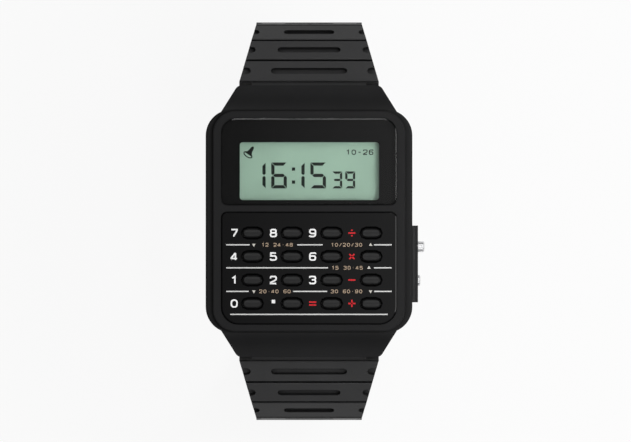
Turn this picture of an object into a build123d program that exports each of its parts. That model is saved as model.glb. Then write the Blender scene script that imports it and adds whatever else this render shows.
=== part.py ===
"""Calculator wristwatch in black resin, unbuckled, with its strap halves hanging round the wrist space.

X runs across the watch toward the pushers, Y toward the upper strap and Z out of the display.
The origin is the middle of the back cover's outer face. Lengths are in millimetres, angles in degrees.
"""
import os
from math import cos, pi, radians, sin, sqrt, tan

from build123d import *

os.makedirs("parts", exist_ok=True)

# Clearances shared by every sub-part
running_gap = 0.05
slide_gap = 0.15
cut_over = 1.0

# Case
case_width = 33.1
case_bottom = 0.3
head_length = 35.8
head_corner = 4.2
shoulder_height = 7.3
shoulder_chamfer = 0.35
bezel_side_step = 1.15
bezel_end_step = 0.25
bezel_corner = 3.6
bezel_height = 8.0
edge_break = 0.2
case_side_wall = 2.95
case_end_wall = 2.7
cavity_corner = 2.4
cavity_roof = 6.0
deck_height = 6.8

# Strap hoods of the case
hood_length = 3.9
hood_end_width = 22.9
hood_flare_share = 0.613
hood_corner = 1.2
hood_lip_height = 4.85
hood_mid_height = 5.75
hood_mid_reach = 2.2
hood_gap = 0.25
cheek_radius = 2.0
bar_height = 2.5

# Pusher guard on the 3 o'clock side
guard_reach = 0.92
guard_high = -0.7
guard_low = -13.0
guard_bottom = 2.4
guard_top = 6.8
guard_chamfer = 0.9

# Front panels
panel_side_margin = 1.36
panel_gap = 0.06
crystal_low = 2.58
crystal_end_margin = 1.2
crystal_low_corner = 1.1
crystal_high_corner = 2.4
crystal_height = 8.2
mask_thickness = 0.15
plate_end_margin = 1.15
plate_high = 1.49
plate_low_corner = 2.8
plate_high_corner = 1.0
plate_height = 8.15
window_side_margin = 2.89
window_offset = 0.07
window_low_margin = 0.81
window_high_margin = 3.81
window_corner = 0.5
window_margin = 0.25

# Keys
key_columns = 4
key_rows = 4
key_side_margin = 2.945
key_low_margin = 2.555
key_high_margin = 2.605
key_offset = 0.43
key_length = 3.2
key_width = 1.55
key_gap = 0.14
key_height = 8.5
key_chamfer = 0.22
key_hole_chamfer = 0.15
key_flange_length = 4.0
key_flange_width = 2.4
key_flange_bottom = 6.25
key_flange_top = 6.65
key_stem_length = 1.9
key_stem_width = 1.1
key_deck_margin = 0.5

# Rubber key sheet
sheet_side_inset = 0.4
sheet_margin = 0.5
sheet_bottom = 4.1
sheet_thickness = 0.45
dome_length = 3.0
dome_width = 2.2
dome_height = 5.9
dome_taper = 22

# Display cell with its holder and contact strips
cell_side_inset = 1.1
cell_low_lap = 0.43
cell_high_margin = 2.7
cell_bottom = 4.85
cell_split = 5.4
cell_top = 5.92
glass_step = 0.9
reflector_thickness = 0.15
holder_side_gap = 0.7
holder_low_lap = 1.23
holder_high_margin = 1.75
holder_corner = 1.6
strip_width = 0.7
strip_inset = 1.3
holder_gap = 0.1

# Board and what is soldered to it
board_bottom = 3.5
board_thickness = 0.6
board_side_gap = 1.4
board_end_gap = 0.4
board_corner = 2.2
chip_size = 6.0
chip_thickness = 0.9
chip_x = -4.2
chip_inset = 4.6
timer_length = 6.0
timer_radius = 0.75
timer_x = 3.5
timer_inset = 2.6
capacitor_length = 1.6
capacitor_width = 0.8
capacitor_thickness = 0.7
capacitor_pitch = 2.0
capacitor_count = 4
capacitor_x = -5.0
capacitor_inset = 0.8
leaf_thickness = 0.15
leaf_width = 1.6
leaf_height = 1.1

# Module frame, coin cell, buzzer
frame_bottom = 0.85
frame_top = 3.5
frame_gap = 0.3
frame_corner = 2.3
battery_side_margin = 3.3
battery_end_margin = 0.7
battery_chip_gap = 1.4
battery_thickness = 1.6
battery_bottom = 1.4
battery_x = -1.5
clamp_thickness = 0.2
clamp_width = 6.0
clamp_margin = 1.7
pocket_gap = 0.3
buzzer_margin = 4.8
buzzer_place = (2.0, 3.0)
buzzer_plate = 0.15
ceramic_radius = 5.6
ceramic_thickness = 0.12
contact_thickness = 0.15
contact_width = 2.0
contact_foot = 1.6
contact_reach = 4.0
buzzer_contact_place = (9.0, 8.6)
cell_contact_shift = 2.0

# Back cover, its seal and screws
cover_side_lap = 1.1
cover_end_lap = 1.2
cover_corner = 2.0
cover_thickness = 0.8
cover_gap = 0.1
gasket_inset = 0.15
gasket_width = 0.5
gasket_height = 0.45
screw_inset = 1.4
screw_head_radius = 0.95
screw_head_height = 0.4
screw_radius = 0.55
screw_depth = 3.2
screw_slot_width = 0.3
screw_slot_depth = 0.2
screw_gap = 0.1
thread_gap = 0.02

# Pushers
pusher_rows = (-4.1, -9.5)
pusher_height = 4.6
pusher_proud = (1.03, 0.38)
pusher_cap_radius = 0.87
pusher_cap_sunk = 0.87
pusher_well_radius = 1.05
pusher_well_web = 1.6
pusher_chamfer = 0.15
shaft_radius = 0.45
shaft_bore_radius = 0.5
shaft_proud = 0.6
seal_radius = 0.8
seal_length = 0.5
seal_depth = 0.7
clip_radius = 0.9
clip_thickness = 0.2
clip_groove_radius = 0.33
coil_wire = 0.18
coil_radius = 0.7
coil_turns = 4
coil_sides = 8

# Spring bars
bar_tube_radius = 0.75
bar_tube_wall = 0.15
bar_tube_inset = 0.9
bar_tip_radius = 0.4
bar_tip_hold = 1.0
bar_collar_radius = 0.56
bar_collar_length = 0.6
bar_hole_gap = 0.03
bar_coil_wall = 0.16

# Strap: the tang in the hood, the linked part that the display side shows, and the plain band
tang_width = 18.4
tang_radius = 1.5
tang_neck = 2.0
strap_root_radius = 2.6
strap_rise = 1.3
link_pitch = 4.3
link_angles = (33, 40, 53.5, 84, 90)
link_taper_shares = (1, 0.618, 0.273, 0, 0, 0)
strap_shoulder_width = 22.44
pad_thickness = 0.6
pad_groove = 0.36
pad_slope = 0.12
band_thickness = 2.0
band_width = 17.1
bend_radius = 6.0
slot_lengths = (12.3, 10.2, 8.2, 8.0, 8.0)
slot_width = 1.15
slot_depth = 0.45
notch_width = 1.3
notch_reaches = (1.35, 1.15, 0.95, 0.95, 0.95)

# Short half on the 12 o'clock side, long half on the 6 o'clock side
short_turn = 17.0
short_floor = -37.0
short_run = 14.0
long_turn = 25.0
long_floor = -56.0
long_run = 22.0
tip_turn = 50.0
tip_angle = 12
tip_straight = 2.0
tip_corner = 6.0
tongue_hole_count = 10
tongue_hole_pitch = 6.0
tongue_hole_first = 12.0
tongue_hole_length = 2.9
tongue_hole_width = 1.7

# Buckle, its bar and tongue, and the keeper
knuckle_radius = 1.6
buckle_bar_radius = 0.6
buckle_bar_inset = 0.2
knuckle_slot_width = 3.0
knuckle_slot_depth = 1.8
buckle_side_gap = 0.3
buckle_arm_width = 1.55
buckle_reach = 11.4
buckle_crossbar = 2.0
buckle_thickness = 1.6
buckle_round = 0.35
tongue_width = 2.4
tongue_thickness = 0.9
tongue_eye_radius = 1.3
tongue_overhang = 0.5
keeper_opening = 4.6
keeper_side_gap = 0.15
keeper_wall = 1.1
keeper_length = 6.0
keeper_from_bar = 7.6

# Flats that stand for a half turn on a small rounded outline, and for a whole turn on small round pieces
pill_steps = 4
disc_steps = 12
cap_steps = 24

# Derived sizes and places that several sub-parts share
case_length = head_length + 2 * hood_length
bezel_width = case_width - 2 * bezel_side_step
bezel_length = head_length - 2 * bezel_end_step
cavity_width = case_width - 2 * case_side_wall
cavity_length = head_length - 2 * case_end_wall
panel_width = bezel_width - 2 * panel_side_margin
crystal_high = bezel_length / 2 - crystal_end_margin
plate_low = plate_end_margin - bezel_length / 2
window_width = panel_width - 2 * window_side_margin
window_low = crystal_low + window_low_margin
window_high = crystal_high - window_high_margin
cell_low = crystal_low - cell_low_lap
cell_high = crystal_high - cell_high_margin
holder_low = crystal_low - holder_low_lap
holder_high = crystal_high - holder_high_margin
key_pitch_x = (panel_width - key_length - 2 * key_side_margin) / (key_columns - 1)
key_span_y = plate_high - plate_low - key_width - key_low_margin - key_high_margin
key_pitch_y = key_span_y / (key_rows - 1)
key_first_row = plate_high - key_high_margin - key_width / 2
board_width = cavity_width - 2 * board_side_gap
board_length = cavity_length - 2 * board_end_gap
sheet_width = board_width - 2 * sheet_side_inset
holder_width = cavity_width - 2 * holder_side_gap
cell_width = holder_width - 2 * cell_side_inset
strip_length = cell_width - 2 * strip_inset
frame_width = cavity_width - 2 * frame_gap
frame_length = cavity_length - 2 * frame_gap
chip_place = (chip_x, board_length / 2 - chip_inset)
timer_place = (timer_x, board_length / 2 - timer_inset)
capacitor_place = (capacitor_x, board_length / 2 - capacitor_inset)
battery_low = battery_end_margin - frame_length / 2
battery_high = chip_place[1] - chip_size / 2 - battery_chip_gap
battery_radius = min(frame_width / 2 - battery_side_margin, (battery_high - battery_low) / 2)
battery_place = (battery_x, battery_low + battery_radius)
cell_contact_place = (battery_x, battery_place[1] - cell_contact_shift)
buzzer_radius = frame_width / 2 - buzzer_margin
cover_width = cavity_width + 2 * cover_side_lap
cover_length = cavity_length + 2 * cover_end_lap
screw_x = cover_width / 2 - screw_inset
screw_y = cover_length / 2 - screw_inset
bar_y = case_length / 2 - cheek_radius
hood_bottom = bar_height - cheek_radius
sheet_top = sheet_bottom + sheet_thickness
board_top = board_bottom + board_thickness
guard_face = case_width / 2 + guard_reach
pusher_tips = [guard_face + proud for proud in pusher_proud]
pusher_cap_inner = guard_face - pusher_cap_sunk
pusher_well_floor = cavity_width / 2 + pusher_well_web
shaft_end = cavity_width / 2 - shaft_proud
seal_place = cavity_width / 2 + seal_depth
clip_place = cavity_width / 2 - running_gap - clip_thickness
bar_tube_length = tang_width - 2 * bar_tube_inset
bar_tip_reach = tang_width / 2 + slide_gap + bar_tip_hold
link_widths = [band_width + share * (strap_shoulder_width - band_width) for share in link_taper_shares]
screw_places = [(x, y) for x in (-screw_x, screw_x) for y in (-screw_y, screw_y)]
key_grid_low = key_first_row - (key_rows - 1) * key_pitch_y
key_names = (
    ("key_7", "key_8", "key_9", "key_divide"),
    ("key_4", "key_5", "key_6", "key_times"),
    ("key_1", "key_2", "key_3", "key_minus"),
    ("key_0", "key_point", "key_equals", "key_plus"),
)
key_places = [
    (key_offset + (column - (key_columns - 1) / 2) * key_pitch_x, key_first_row - row * key_pitch_y)
    for row in range(key_rows)
    for column in range(key_columns)
]


def finish(sub_part, name):
    """Label a finished sub-part and write its file."""
    sub_part.part.label = name
    export_step(sub_part.part, f"parts/{name}.step")


def panel_face(height, width, low, high, low_corner, high_corner):
    """A panel's outline, with one radius at its lower corners and another at its upper ones."""
    with BuildSketch(Plane.XY.offset(height), mode=Mode.PRIVATE) as panel:
        with Locations((0, (low + high) / 2)):
            Rectangle(width, high - low)
        fillet(panel.vertices().group_by(Axis.Y)[0], low_corner)
        fillet(panel.vertices().group_by(Axis.Y)[-1], high_corner)
    return panel.sketch


def board_face(height, width, length, corner, middle=(0, 0)):
    """A rectangle with its corners cut off at 45 degrees, as the module's layers have."""
    with BuildSketch(Plane.XY.offset(height), mode=Mode.PRIVATE) as board:
        with Locations(middle):
            Rectangle(width, length)
        chamfer(board.vertices(), corner)
    return board.sketch


def along_x(x, y, z):
    """The plane across the X axis at a place, facing outward on the pusher side."""
    return Plane(origin=(x, y, z), x_dir=(0, 1, 0), z_dir=(1, 0, 0))


def pill_face(plane, length, width, places=((0, 0),)):
    """Pills whose rounded ends are a few flats each, so that many of them stay light."""
    radius = width / 2
    turns = [pi * (step / pill_steps - 1 / 2) for step in range(pill_steps + 1)]
    right = [(length / 2 - radius + radius * cos(turn), radius * sin(turn)) for turn in turns]
    left = [(-x, -y) for x, y in right]
    with BuildSketch(plane, mode=Mode.PRIVATE) as pills:
        for x, y in places:
            with BuildLine():
                Polyline(*[(x + dx, y + dy) for dx, dy in right + left], close=True)
            make_face()
    return pills.sketch


def disc_face(plane, radius, places=((0, 0),), hole=0, steps=disc_steps):
    """Small round outlines of a few flats, with a hole in each if one is given."""
    with BuildSketch(plane, mode=Mode.PRIVATE) as discs:
        with Locations(*places):
            RegularPolygon(radius, steps)
            if hole:
                RegularPolygon(hole, steps, mode=Mode.SUBTRACT)
    return discs.sketch


# Strap hood: the sloped block over each spring bar, made once and mirrored to the other end
hood_root = cavity_length / 2
hood_reach = case_length / 2 - hood_root
with BuildPart() as hood:
    with BuildSketch(Plane.XY.offset(hood_bottom)) as hood_plan:
        with BuildLine():
            end_half = hood_end_width / 2
            root_half = end_half + hood_flare_share * hood_reach
            Polyline(
                (root_half, hood_root),
                (end_half, case_length / 2),
                (-end_half, case_length / 2),
                (-root_half, hood_root),
                close=True,
            )
        make_face()
        fillet(hood_plan.vertices().group_by(Axis.Y)[-1], hood_corner)
    extrude(amount=shoulder_height - hood_bottom)
    with BuildSketch(Plane.YZ):
        with BuildLine():
            Line((hood_root, hood_bottom), (bar_y, hood_bottom))
            RadiusArc(
                (bar_y, hood_bottom), (bar_y + cheek_radius, bar_height), -cheek_radius
            )
            Line((bar_y + cheek_radius, bar_height), (case_length / 2, hood_lip_height))
            ThreePointArc(
                (case_length / 2, hood_lip_height),
                (case_length / 2 - hood_mid_reach, hood_mid_height),
                (head_length / 2, shoulder_height),
            )
            Line((head_length / 2, shoulder_height), (hood_root, shoulder_height))
            Line((hood_root, shoulder_height), (hood_root, hood_bottom))
        make_face()
    extrude(amount=root_half, both=True, mode=Mode.INTERSECT)

# Case: head block, bezel step, two hoods and the pusher guard, then everything that is cut from them
slot_radius = tang_radius + hood_gap
with BuildPart() as case_shell:
    with BuildSketch(Plane.XY.offset(case_bottom)):
        RectangleRounded(case_width, head_length, head_corner)
    extrude(amount=shoulder_height - case_bottom)
    chamfer(case_shell.edges().group_by(Axis.Z)[-1], shoulder_chamfer)
    chamfer(case_shell.edges().group_by(Axis.Z)[0], edge_break)
    with BuildSketch(Plane.XY.offset(shoulder_height)):
        RectangleRounded(bezel_width, bezel_length, bezel_corner)
    extrude(amount=bezel_height - shoulder_height)
    chamfer(case_shell.edges().group_by(Axis.Z)[-1], edge_break)
    # Pusher guard, rounded along its top edge and cut back at its two ends
    with BuildSketch(Plane.XZ.offset(-guard_low)):
        with BuildLine():
            guard_root = case_width / 2 - guard_reach
            Line((guard_root, guard_bottom), (guard_face - guard_chamfer / 2, guard_bottom))
            Line((guard_face - guard_chamfer / 2, guard_bottom), (guard_face, guard_bottom + guard_chamfer))
            Line((guard_face, guard_bottom + guard_chamfer), (guard_face, guard_top - guard_chamfer))
            RadiusArc(
                (guard_face, guard_top - guard_chamfer),
                (guard_face - guard_chamfer, guard_top),
                -guard_chamfer,
            )
            Line((guard_face - guard_chamfer, guard_top), (guard_root, guard_top))
            Line((guard_root, guard_top), (guard_root, guard_bottom))
        make_face()
    extrude(amount=guard_low - guard_high)
    # The hoods over the spring bars
    add(hood.part)
    add(hood.part.mirror(Plane.XZ))
    # Space for each strap tang, open below and outward, and a blind hole for each bar tip
    for side in (1, -1):
        with BuildSketch(Plane.YZ):
            with BuildLine():
                wall = side * (bar_y - slot_radius)
                outside = side * (case_length / 2 + cut_over)
                under = -cut_over
                roof = bar_height + slot_radius
                Line((wall, under), (wall, bar_height))
                ThreePointArc(
                    (wall, bar_height),
                    (side * (bar_y - slot_radius * sqrt(0.5)), bar_height + slot_radius * sqrt(0.5)),
                    (side * bar_y, roof),
                )
                Polyline(
                    (side * bar_y, roof), (outside, roof), (outside, under), (wall, under)
                )
            make_face()
        extrude(amount=tang_width / 2 + slide_gap, both=True, mode=Mode.SUBTRACT)
        extrude(
            disc_face(Plane.YZ, bar_tip_radius + bar_hole_gap, [(side * bar_y, bar_height)]),
            amount=bar_tip_reach + running_gap,
            both=True,
            mode=Mode.SUBTRACT,
        )
    # Seats of the two front panels
    extrude(
        panel_face(
            deck_height,
            panel_width + 2 * panel_gap,
            crystal_low - panel_gap,
            crystal_high + panel_gap,
            crystal_low_corner,
            crystal_high_corner,
        ),
        amount=cut_over + bezel_height - deck_height,
        mode=Mode.SUBTRACT,
    )
    extrude(
        panel_face(
            deck_height,
            panel_width + 2 * panel_gap,
            plate_low - panel_gap,
            plate_high + panel_gap,
            plate_low_corner,
            plate_high_corner,
        ),
        amount=cut_over + bezel_height - deck_height,
        mode=Mode.SUBTRACT,
    )
    # Module cavity from below, then the recess of the back cover and the groove of its gasket
    extrude(
        board_face(0, cavity_width, cavity_length, cavity_corner),
        amount=cavity_roof,
        mode=Mode.SUBTRACT,
    )
    with BuildSketch():
        RectangleRounded(cover_width + 2 * cover_gap, cover_length + 2 * cover_gap, cover_corner)
    extrude(amount=cover_thickness, mode=Mode.SUBTRACT)
    with BuildSketch():
        add(board_face(0, cavity_width, cavity_length, cavity_corner))
        offset(amount=gasket_inset + gasket_width + running_gap, kind=Kind.INTERSECTION)
    extrude(amount=cover_thickness + gasket_height, mode=Mode.SUBTRACT)
    # Openings of the deck: one for the display, one for the keys
    window_half = window_width / 2 + abs(window_offset) + window_margin
    with BuildSketch(Plane.XY.offset(cavity_roof)):
        with Locations((0, (window_low + window_high) / 2)):
            Rectangle(2 * window_half, window_high - window_low + 2 * window_margin)
    extrude(amount=deck_height - cavity_roof, mode=Mode.SUBTRACT)
    key_block_width = (key_columns - 1) * key_pitch_x + key_flange_length
    key_block_length = (key_rows - 1) * key_pitch_y + key_flange_width
    with BuildSketch(Plane.XY.offset(cavity_roof)):
        with Locations((key_offset, (key_first_row + key_grid_low) / 2)):
            Rectangle(key_block_width + 2 * key_deck_margin, key_block_length + 2 * key_deck_margin)
    extrude(amount=deck_height - cavity_roof, mode=Mode.SUBTRACT)
    # Screw holes of the back cover
    extrude(
        disc_face(Plane.XY.offset(cover_thickness), screw_radius + thread_gap, screw_places),
        amount=screw_depth,
        mode=Mode.SUBTRACT,
    )
    # A well and a bore for each pusher
    for row in pusher_rows:
        well = along_x(pusher_well_floor, row, pusher_height)
        extrude(
            disc_face(well, pusher_well_radius, steps=cap_steps), amount=case_width / 2, mode=Mode.SUBTRACT
        )
        extrude(
            disc_face(along_x(cavity_width / 2 - cut_over, row, pusher_height), shaft_bore_radius),
            amount=case_width / 2,
            mode=Mode.SUBTRACT,
        )
        extrude(
            disc_face(along_x(seal_place, row, pusher_height), seal_radius + thread_gap),
            amount=seal_length + 2 * thread_gap,
            mode=Mode.SUBTRACT,
        )
finish(case_shell, "case_shell")

# Crystal over the display, with a broken edge that catches the light
with BuildPart() as crystal:
    mask_top = deck_height + mask_thickness
    extrude(
        panel_face(
            mask_top, panel_width, crystal_low, crystal_high, crystal_low_corner, crystal_high_corner
        ),
        amount=crystal_height - mask_top,
    )
    chamfer(crystal.edges().group_by(Axis.Z)[-1], edge_break)
finish(crystal, "crystal")

# Printed mask behind the crystal, open at the display window
with BuildPart() as display_mask:
    extrude(
        panel_face(
            deck_height, panel_width, crystal_low, crystal_high, crystal_low_corner, crystal_high_corner
        ),
        amount=mask_thickness,
    )
    with BuildSketch(Plane.XY.offset(deck_height)):
        with Locations((window_offset, (window_low + window_high) / 2)):
            RectangleRounded(window_width, window_high - window_low, window_corner)
    extrude(amount=mask_thickness, mode=Mode.SUBTRACT)
finish(display_mask, "display_mask")

# Keypad plate with a rounded hole for each key
with BuildPart() as keypad_plate:
    extrude(
        panel_face(deck_height, panel_width, plate_low, plate_high, plate_low_corner, plate_high_corner),
        amount=plate_height - deck_height,
    )
    chamfer(keypad_plate.edges().group_by(Axis.Z)[-1], edge_break)
    key_holes = pill_face(
        Plane.XY.offset(deck_height), key_length + 2 * key_gap, key_width + 2 * key_gap, key_places
    )
    extrude(key_holes, amount=plate_height - deck_height, mode=Mode.SUBTRACT)
    hole_rim = 2 * (key_gap + key_hole_chamfer)
    rims = pill_face(
        Plane.XY.offset(plate_height), key_length + hole_rim, key_width + hole_rim, key_places
    )
    extrude(rims, amount=-key_hole_chamfer, taper=45, mode=Mode.SUBTRACT)
finish(keypad_plate, "keypad_plate")


def make_key(name, x, y):
    """One key: a pill cap through the plate, a flange that stops below it, and a stem on its dome."""
    with BuildPart() as key:
        with BuildSketch(Plane.XY.offset(key_flange_bottom)):
            with Locations((x, y)):
                Rectangle(key_flange_length, key_flange_width)
        extrude(amount=key_flange_top - key_flange_bottom)
        extrude(
            pill_face(Plane.XY.offset(key_flange_top), key_length, key_width, [(x, y)]),
            amount=key_height - key_flange_top,
        )
        chamfer(key.edges().group_by(Axis.Z)[-1], key_chamfer)
        with BuildSketch(Plane.XY.offset(dome_height)):
            with Locations((x, y)):
                Rectangle(key_stem_length, key_stem_width)
        extrude(amount=key_flange_bottom - dome_height)
    finish(key, name)


for name, (x, y) in zip([name for row in key_names for name in row], key_places):
    make_key(name, x, y)

# Rubber sheet under the keys, with one hollow-looking dome for each
with BuildPart() as key_sheet:
    sheet_high = key_first_row + dome_width / 2 + sheet_margin
    sheet_low = key_grid_low - dome_width / 2 - sheet_margin
    sheet_middle = (0, (sheet_high + sheet_low) / 2)
    with BuildSketch(Plane.XY.offset(sheet_bottom)):
        with Locations(sheet_middle):
            Rectangle(sheet_width, sheet_high - sheet_low)
    extrude(amount=sheet_thickness)
    chamfer(key_sheet.edges().filter_by(Axis.Z).group_by(Axis.Y)[0], board_corner)
    with BuildSketch(Plane.XY.offset(sheet_top)):
        with Locations(key_places):
            Rectangle(dome_length, dome_width)
    extrude(amount=dome_height - sheet_top, taper=dome_taper)
finish(key_sheet, "key_sheet")

# Liquid crystal cell: the front glass overhangs the rear one where the contact strips press
cell_middle = (cell_low + cell_high) / 2
with BuildPart() as lcd_cell:
    with BuildSketch(Plane.XY.offset(cell_split)):
        with Locations((0, cell_middle)):
            Rectangle(cell_width, cell_high - cell_low)
    extrude(amount=cell_top - cell_split)
    with BuildSketch(Plane.XY.offset(cell_bottom)):
        with Locations((0, cell_middle)):
            Rectangle(cell_width, cell_high - cell_low - 2 * glass_step)
    extrude(amount=cell_split - cell_bottom)
finish(lcd_cell, "lcd_cell")

# Reflector film behind the cell
with BuildPart() as lcd_reflector:
    with BuildSketch(Plane.XY.offset(cell_bottom)):
        with Locations((0, cell_middle)):
            Rectangle(cell_width - 2 * edge_break, cell_high - cell_low - 2 * glass_step - 2 * edge_break)
    extrude(amount=-reflector_thickness)
finish(lcd_reflector, "lcd_reflector")

# Rubber contact strips between the board and the overhanging edges of the front glass
with BuildPart() as contact_strips:
    with BuildSketch(Plane.XY.offset(board_top)):
        with Locations((0, cell_low + glass_step / 2), (0, cell_high - glass_step / 2)):
            Rectangle(strip_length, strip_width)
    extrude(amount=cell_split - board_top)
finish(contact_strips, "contact_strips")

# Holder that frames the cell on the board
with BuildPart() as lcd_holder:
    with BuildSketch(Plane.XY.offset(board_top)) as holder_plan:
        with Locations((0, (holder_low + holder_high) / 2)):
            Rectangle(holder_width, holder_high - holder_low)
        chamfer(holder_plan.vertices().group_by(Axis.Y)[-1], holder_corner)
        with Locations((0, cell_middle)):
            Rectangle(
                cell_width + 2 * holder_gap, cell_high - cell_low + 2 * holder_gap, mode=Mode.SUBTRACT
            )
    extrude(amount=cavity_roof - board_top)
finish(lcd_holder, "lcd_holder")

# Main board
with BuildPart() as main_board:
    extrude(board_face(board_bottom, board_width, board_length, board_corner), amount=board_thickness)
finish(main_board, "main_board")

# Controller chip, timing crystal and capacitors on the board's underside
with BuildPart() as controller_chip:
    with BuildSketch(Plane.XY.offset(board_bottom)):
        with Locations(chip_place):
            Rectangle(chip_size, chip_size)
    extrude(amount=-chip_thickness)
    chamfer(controller_chip.edges().group_by(Axis.Z)[0], edge_break)
finish(controller_chip, "controller_chip")

with BuildPart() as timing_crystal:
    with BuildSketch(
        along_x(timer_place[0] - timer_length / 2, timer_place[1], board_bottom - timer_radius)
    ):
            RegularPolygon(timer_radius, disc_steps)
    extrude(amount=timer_length)
finish(timing_crystal, "timing_crystal")

with BuildPart() as chip_capacitors:
    with BuildSketch(Plane.XY.offset(board_bottom)):
        with Locations(capacitor_place):
            with GridLocations(capacitor_pitch, 0, capacitor_count, 1):
                Rectangle(capacitor_length, capacitor_width)
    extrude(amount=-capacitor_thickness)
finish(chip_capacitors, "chip_capacitors")

# Leaf contacts on the board's edge, one facing each pusher
with BuildPart() as switch_contacts:
    with BuildSketch(Plane.XY.offset(board_top)):
        with Locations(*[((board_width - leaf_thickness) / 2, row) for row in pusher_rows]):
            Rectangle(leaf_thickness, leaf_width)
    extrude(amount=leaf_height)
finish(switch_contacts, "switch_contacts")

# Coin cell
with BuildPart() as coin_cell:
    with BuildSketch(Plane.XY.offset(battery_bottom)):
        with Locations(battery_place):
            Circle(battery_radius)
    extrude(amount=battery_thickness)
finish(coin_cell, "coin_cell")

# Steel strap that holds the coin cell in the module frame
clamp_length = frame_width - 2 * clamp_margin
with BuildPart() as cell_clamp:
    with BuildSketch(Plane.XY.offset(battery_bottom)):
        with Locations(battery_place):
            Rectangle(clamp_length, clamp_width)
    extrude(amount=-clamp_thickness)
finish(cell_clamp, "cell_clamp")


def make_contact(name, place, foot_height):
    """A bent leaf that hangs from the board and presses on what lies at foot_height."""
    x, y = place
    with BuildPart() as contact:
        with BuildSketch(Plane.YZ.offset(x)):
            with BuildLine():
                head_low = board_bottom - contact_thickness
                foot_high = foot_height + contact_thickness
                Polyline(
                    (y, board_bottom),
                    (y + contact_foot, board_bottom),
                    (y + contact_foot, head_low),
                    (y + contact_thickness, head_low),
                    (y - contact_reach + contact_foot, foot_height),
                    (y - contact_reach, foot_height),
                    (y - contact_reach, foot_high),
                    (y - contact_reach + contact_foot - contact_thickness, foot_high),
                    close=True,
                )
            make_face()
        extrude(amount=contact_width / 2, both=True)
    finish(contact, name)


battery_top = battery_bottom + battery_thickness
make_contact("cell_contact", cell_contact_place, battery_top)
make_contact("buzzer_contact", buzzer_contact_place, cover_thickness + buzzer_plate)

# Buzzer: a brass disc on the back cover with a ceramic disc on it
with BuildPart() as buzzer_disc:
    plate_level = Plane.XY.offset(cover_thickness)
    extrude(disc_face(plate_level, buzzer_radius, [buzzer_place]), amount=buzzer_plate)
    ceramic_level = Plane.XY.offset(cover_thickness + buzzer_plate)
    extrude(disc_face(ceramic_level, ceramic_radius, [buzzer_place]), amount=ceramic_thickness)
finish(buzzer_disc, "buzzer_disc")

# Module frame: the moulding that fills the case round the cell, the buzzer and the board's parts
with BuildPart() as module_frame:
    extrude(
        board_face(frame_bottom, frame_width, frame_length, frame_corner),
        amount=frame_top - frame_bottom,
    )
    # Pocket of the coin cell, right through
    with BuildSketch(Plane.XY.offset(frame_bottom)):
        with Locations(battery_place):
            Circle(battery_radius + holder_gap)
    extrude(amount=frame_top - frame_bottom, mode=Mode.SUBTRACT)
    # Recess of the buzzer, as deep as the underside of the clamp
    with BuildSketch(Plane.XY.offset(frame_bottom)):
        with Locations(buzzer_place):
            Circle(buzzer_radius + pocket_gap)
        with Locations(battery_place):
            Rectangle(clamp_length + 2 * running_gap, clamp_width + 2 * running_gap)
    extrude(amount=battery_bottom - frame_bottom, mode=Mode.SUBTRACT)
    # Pockets of the chip, the timing crystal, the capacitors and the buzzer's contact
    chip_pocket = chip_size + 2 * pocket_gap
    with BuildSketch(Plane.XY.offset(frame_top)):
        with Locations(chip_place):
            Rectangle(chip_pocket, chip_pocket)
        with Locations(timer_place):
            Rectangle(timer_length + 2 * pocket_gap, 2 * timer_radius + 2 * pocket_gap)
        with Locations(capacitor_place):
            Rectangle(
                (capacitor_count - 1) * capacitor_pitch + capacitor_length + 2 * pocket_gap,
                capacitor_width + 2 * pocket_gap,
            )
    extrude(amount=-2 * timer_radius - running_gap, mode=Mode.SUBTRACT)
    contact_x, contact_y = buzzer_contact_place
    with BuildSketch(Plane.XY.offset(frame_bottom)):
        with Locations((contact_x, contact_y + (contact_foot - contact_reach) / 2)):
            Rectangle(
                contact_width + 2 * pocket_gap, contact_foot + contact_reach + 2 * pocket_gap
            )
    extrude(amount=frame_top - frame_bottom, mode=Mode.SUBTRACT)
finish(module_frame, "module_frame")

# Gasket between the back cover and the case
with BuildPart() as back_gasket:
    with BuildSketch(Plane.XY.offset(cover_thickness)):
        add(board_face(0, cavity_width, cavity_length, cavity_corner))
        offset(amount=gasket_inset + gasket_width, kind=Kind.INTERSECTION)
        with BuildSketch(mode=Mode.PRIVATE) as gasket_inside:
            add(board_face(0, cavity_width, cavity_length, cavity_corner))
            offset(amount=gasket_inset, kind=Kind.INTERSECTION)
        add(gasket_inside.sketch, mode=Mode.SUBTRACT)
    extrude(amount=gasket_height)
finish(back_gasket, "back_gasket")

# Back cover with counterbored screw holes
with BuildPart() as back_cover:
    with BuildSketch():
        RectangleRounded(cover_width, cover_length, cover_corner - cover_gap)
    extrude(amount=cover_thickness)
    chamfer(back_cover.edges().group_by(Axis.Z)[0], edge_break)
    extrude(
        disc_face(Plane.XY, screw_head_radius + screw_gap, screw_places),
        amount=screw_head_height,
        mode=Mode.SUBTRACT,
    )
    extrude(
        disc_face(Plane.XY, screw_radius + screw_gap, screw_places),
        amount=cover_thickness,
        mode=Mode.SUBTRACT,
    )
finish(back_cover, "back_cover")

# Four slotted screws of the back cover
with BuildPart() as back_screws:
    extrude(disc_face(Plane.XY, screw_head_radius, screw_places), amount=screw_head_height)
    extrude(
        disc_face(Plane.XY.offset(screw_head_height), screw_radius, screw_places),
        amount=cover_thickness + screw_depth - screw_head_height - running_gap,
    )
    with BuildSketch():
        with Locations(*screw_places):
            Rectangle(2 * screw_head_radius, screw_slot_width)
    extrude(amount=screw_slot_depth, mode=Mode.SUBTRACT)
finish(back_screws, "back_screws")


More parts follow.
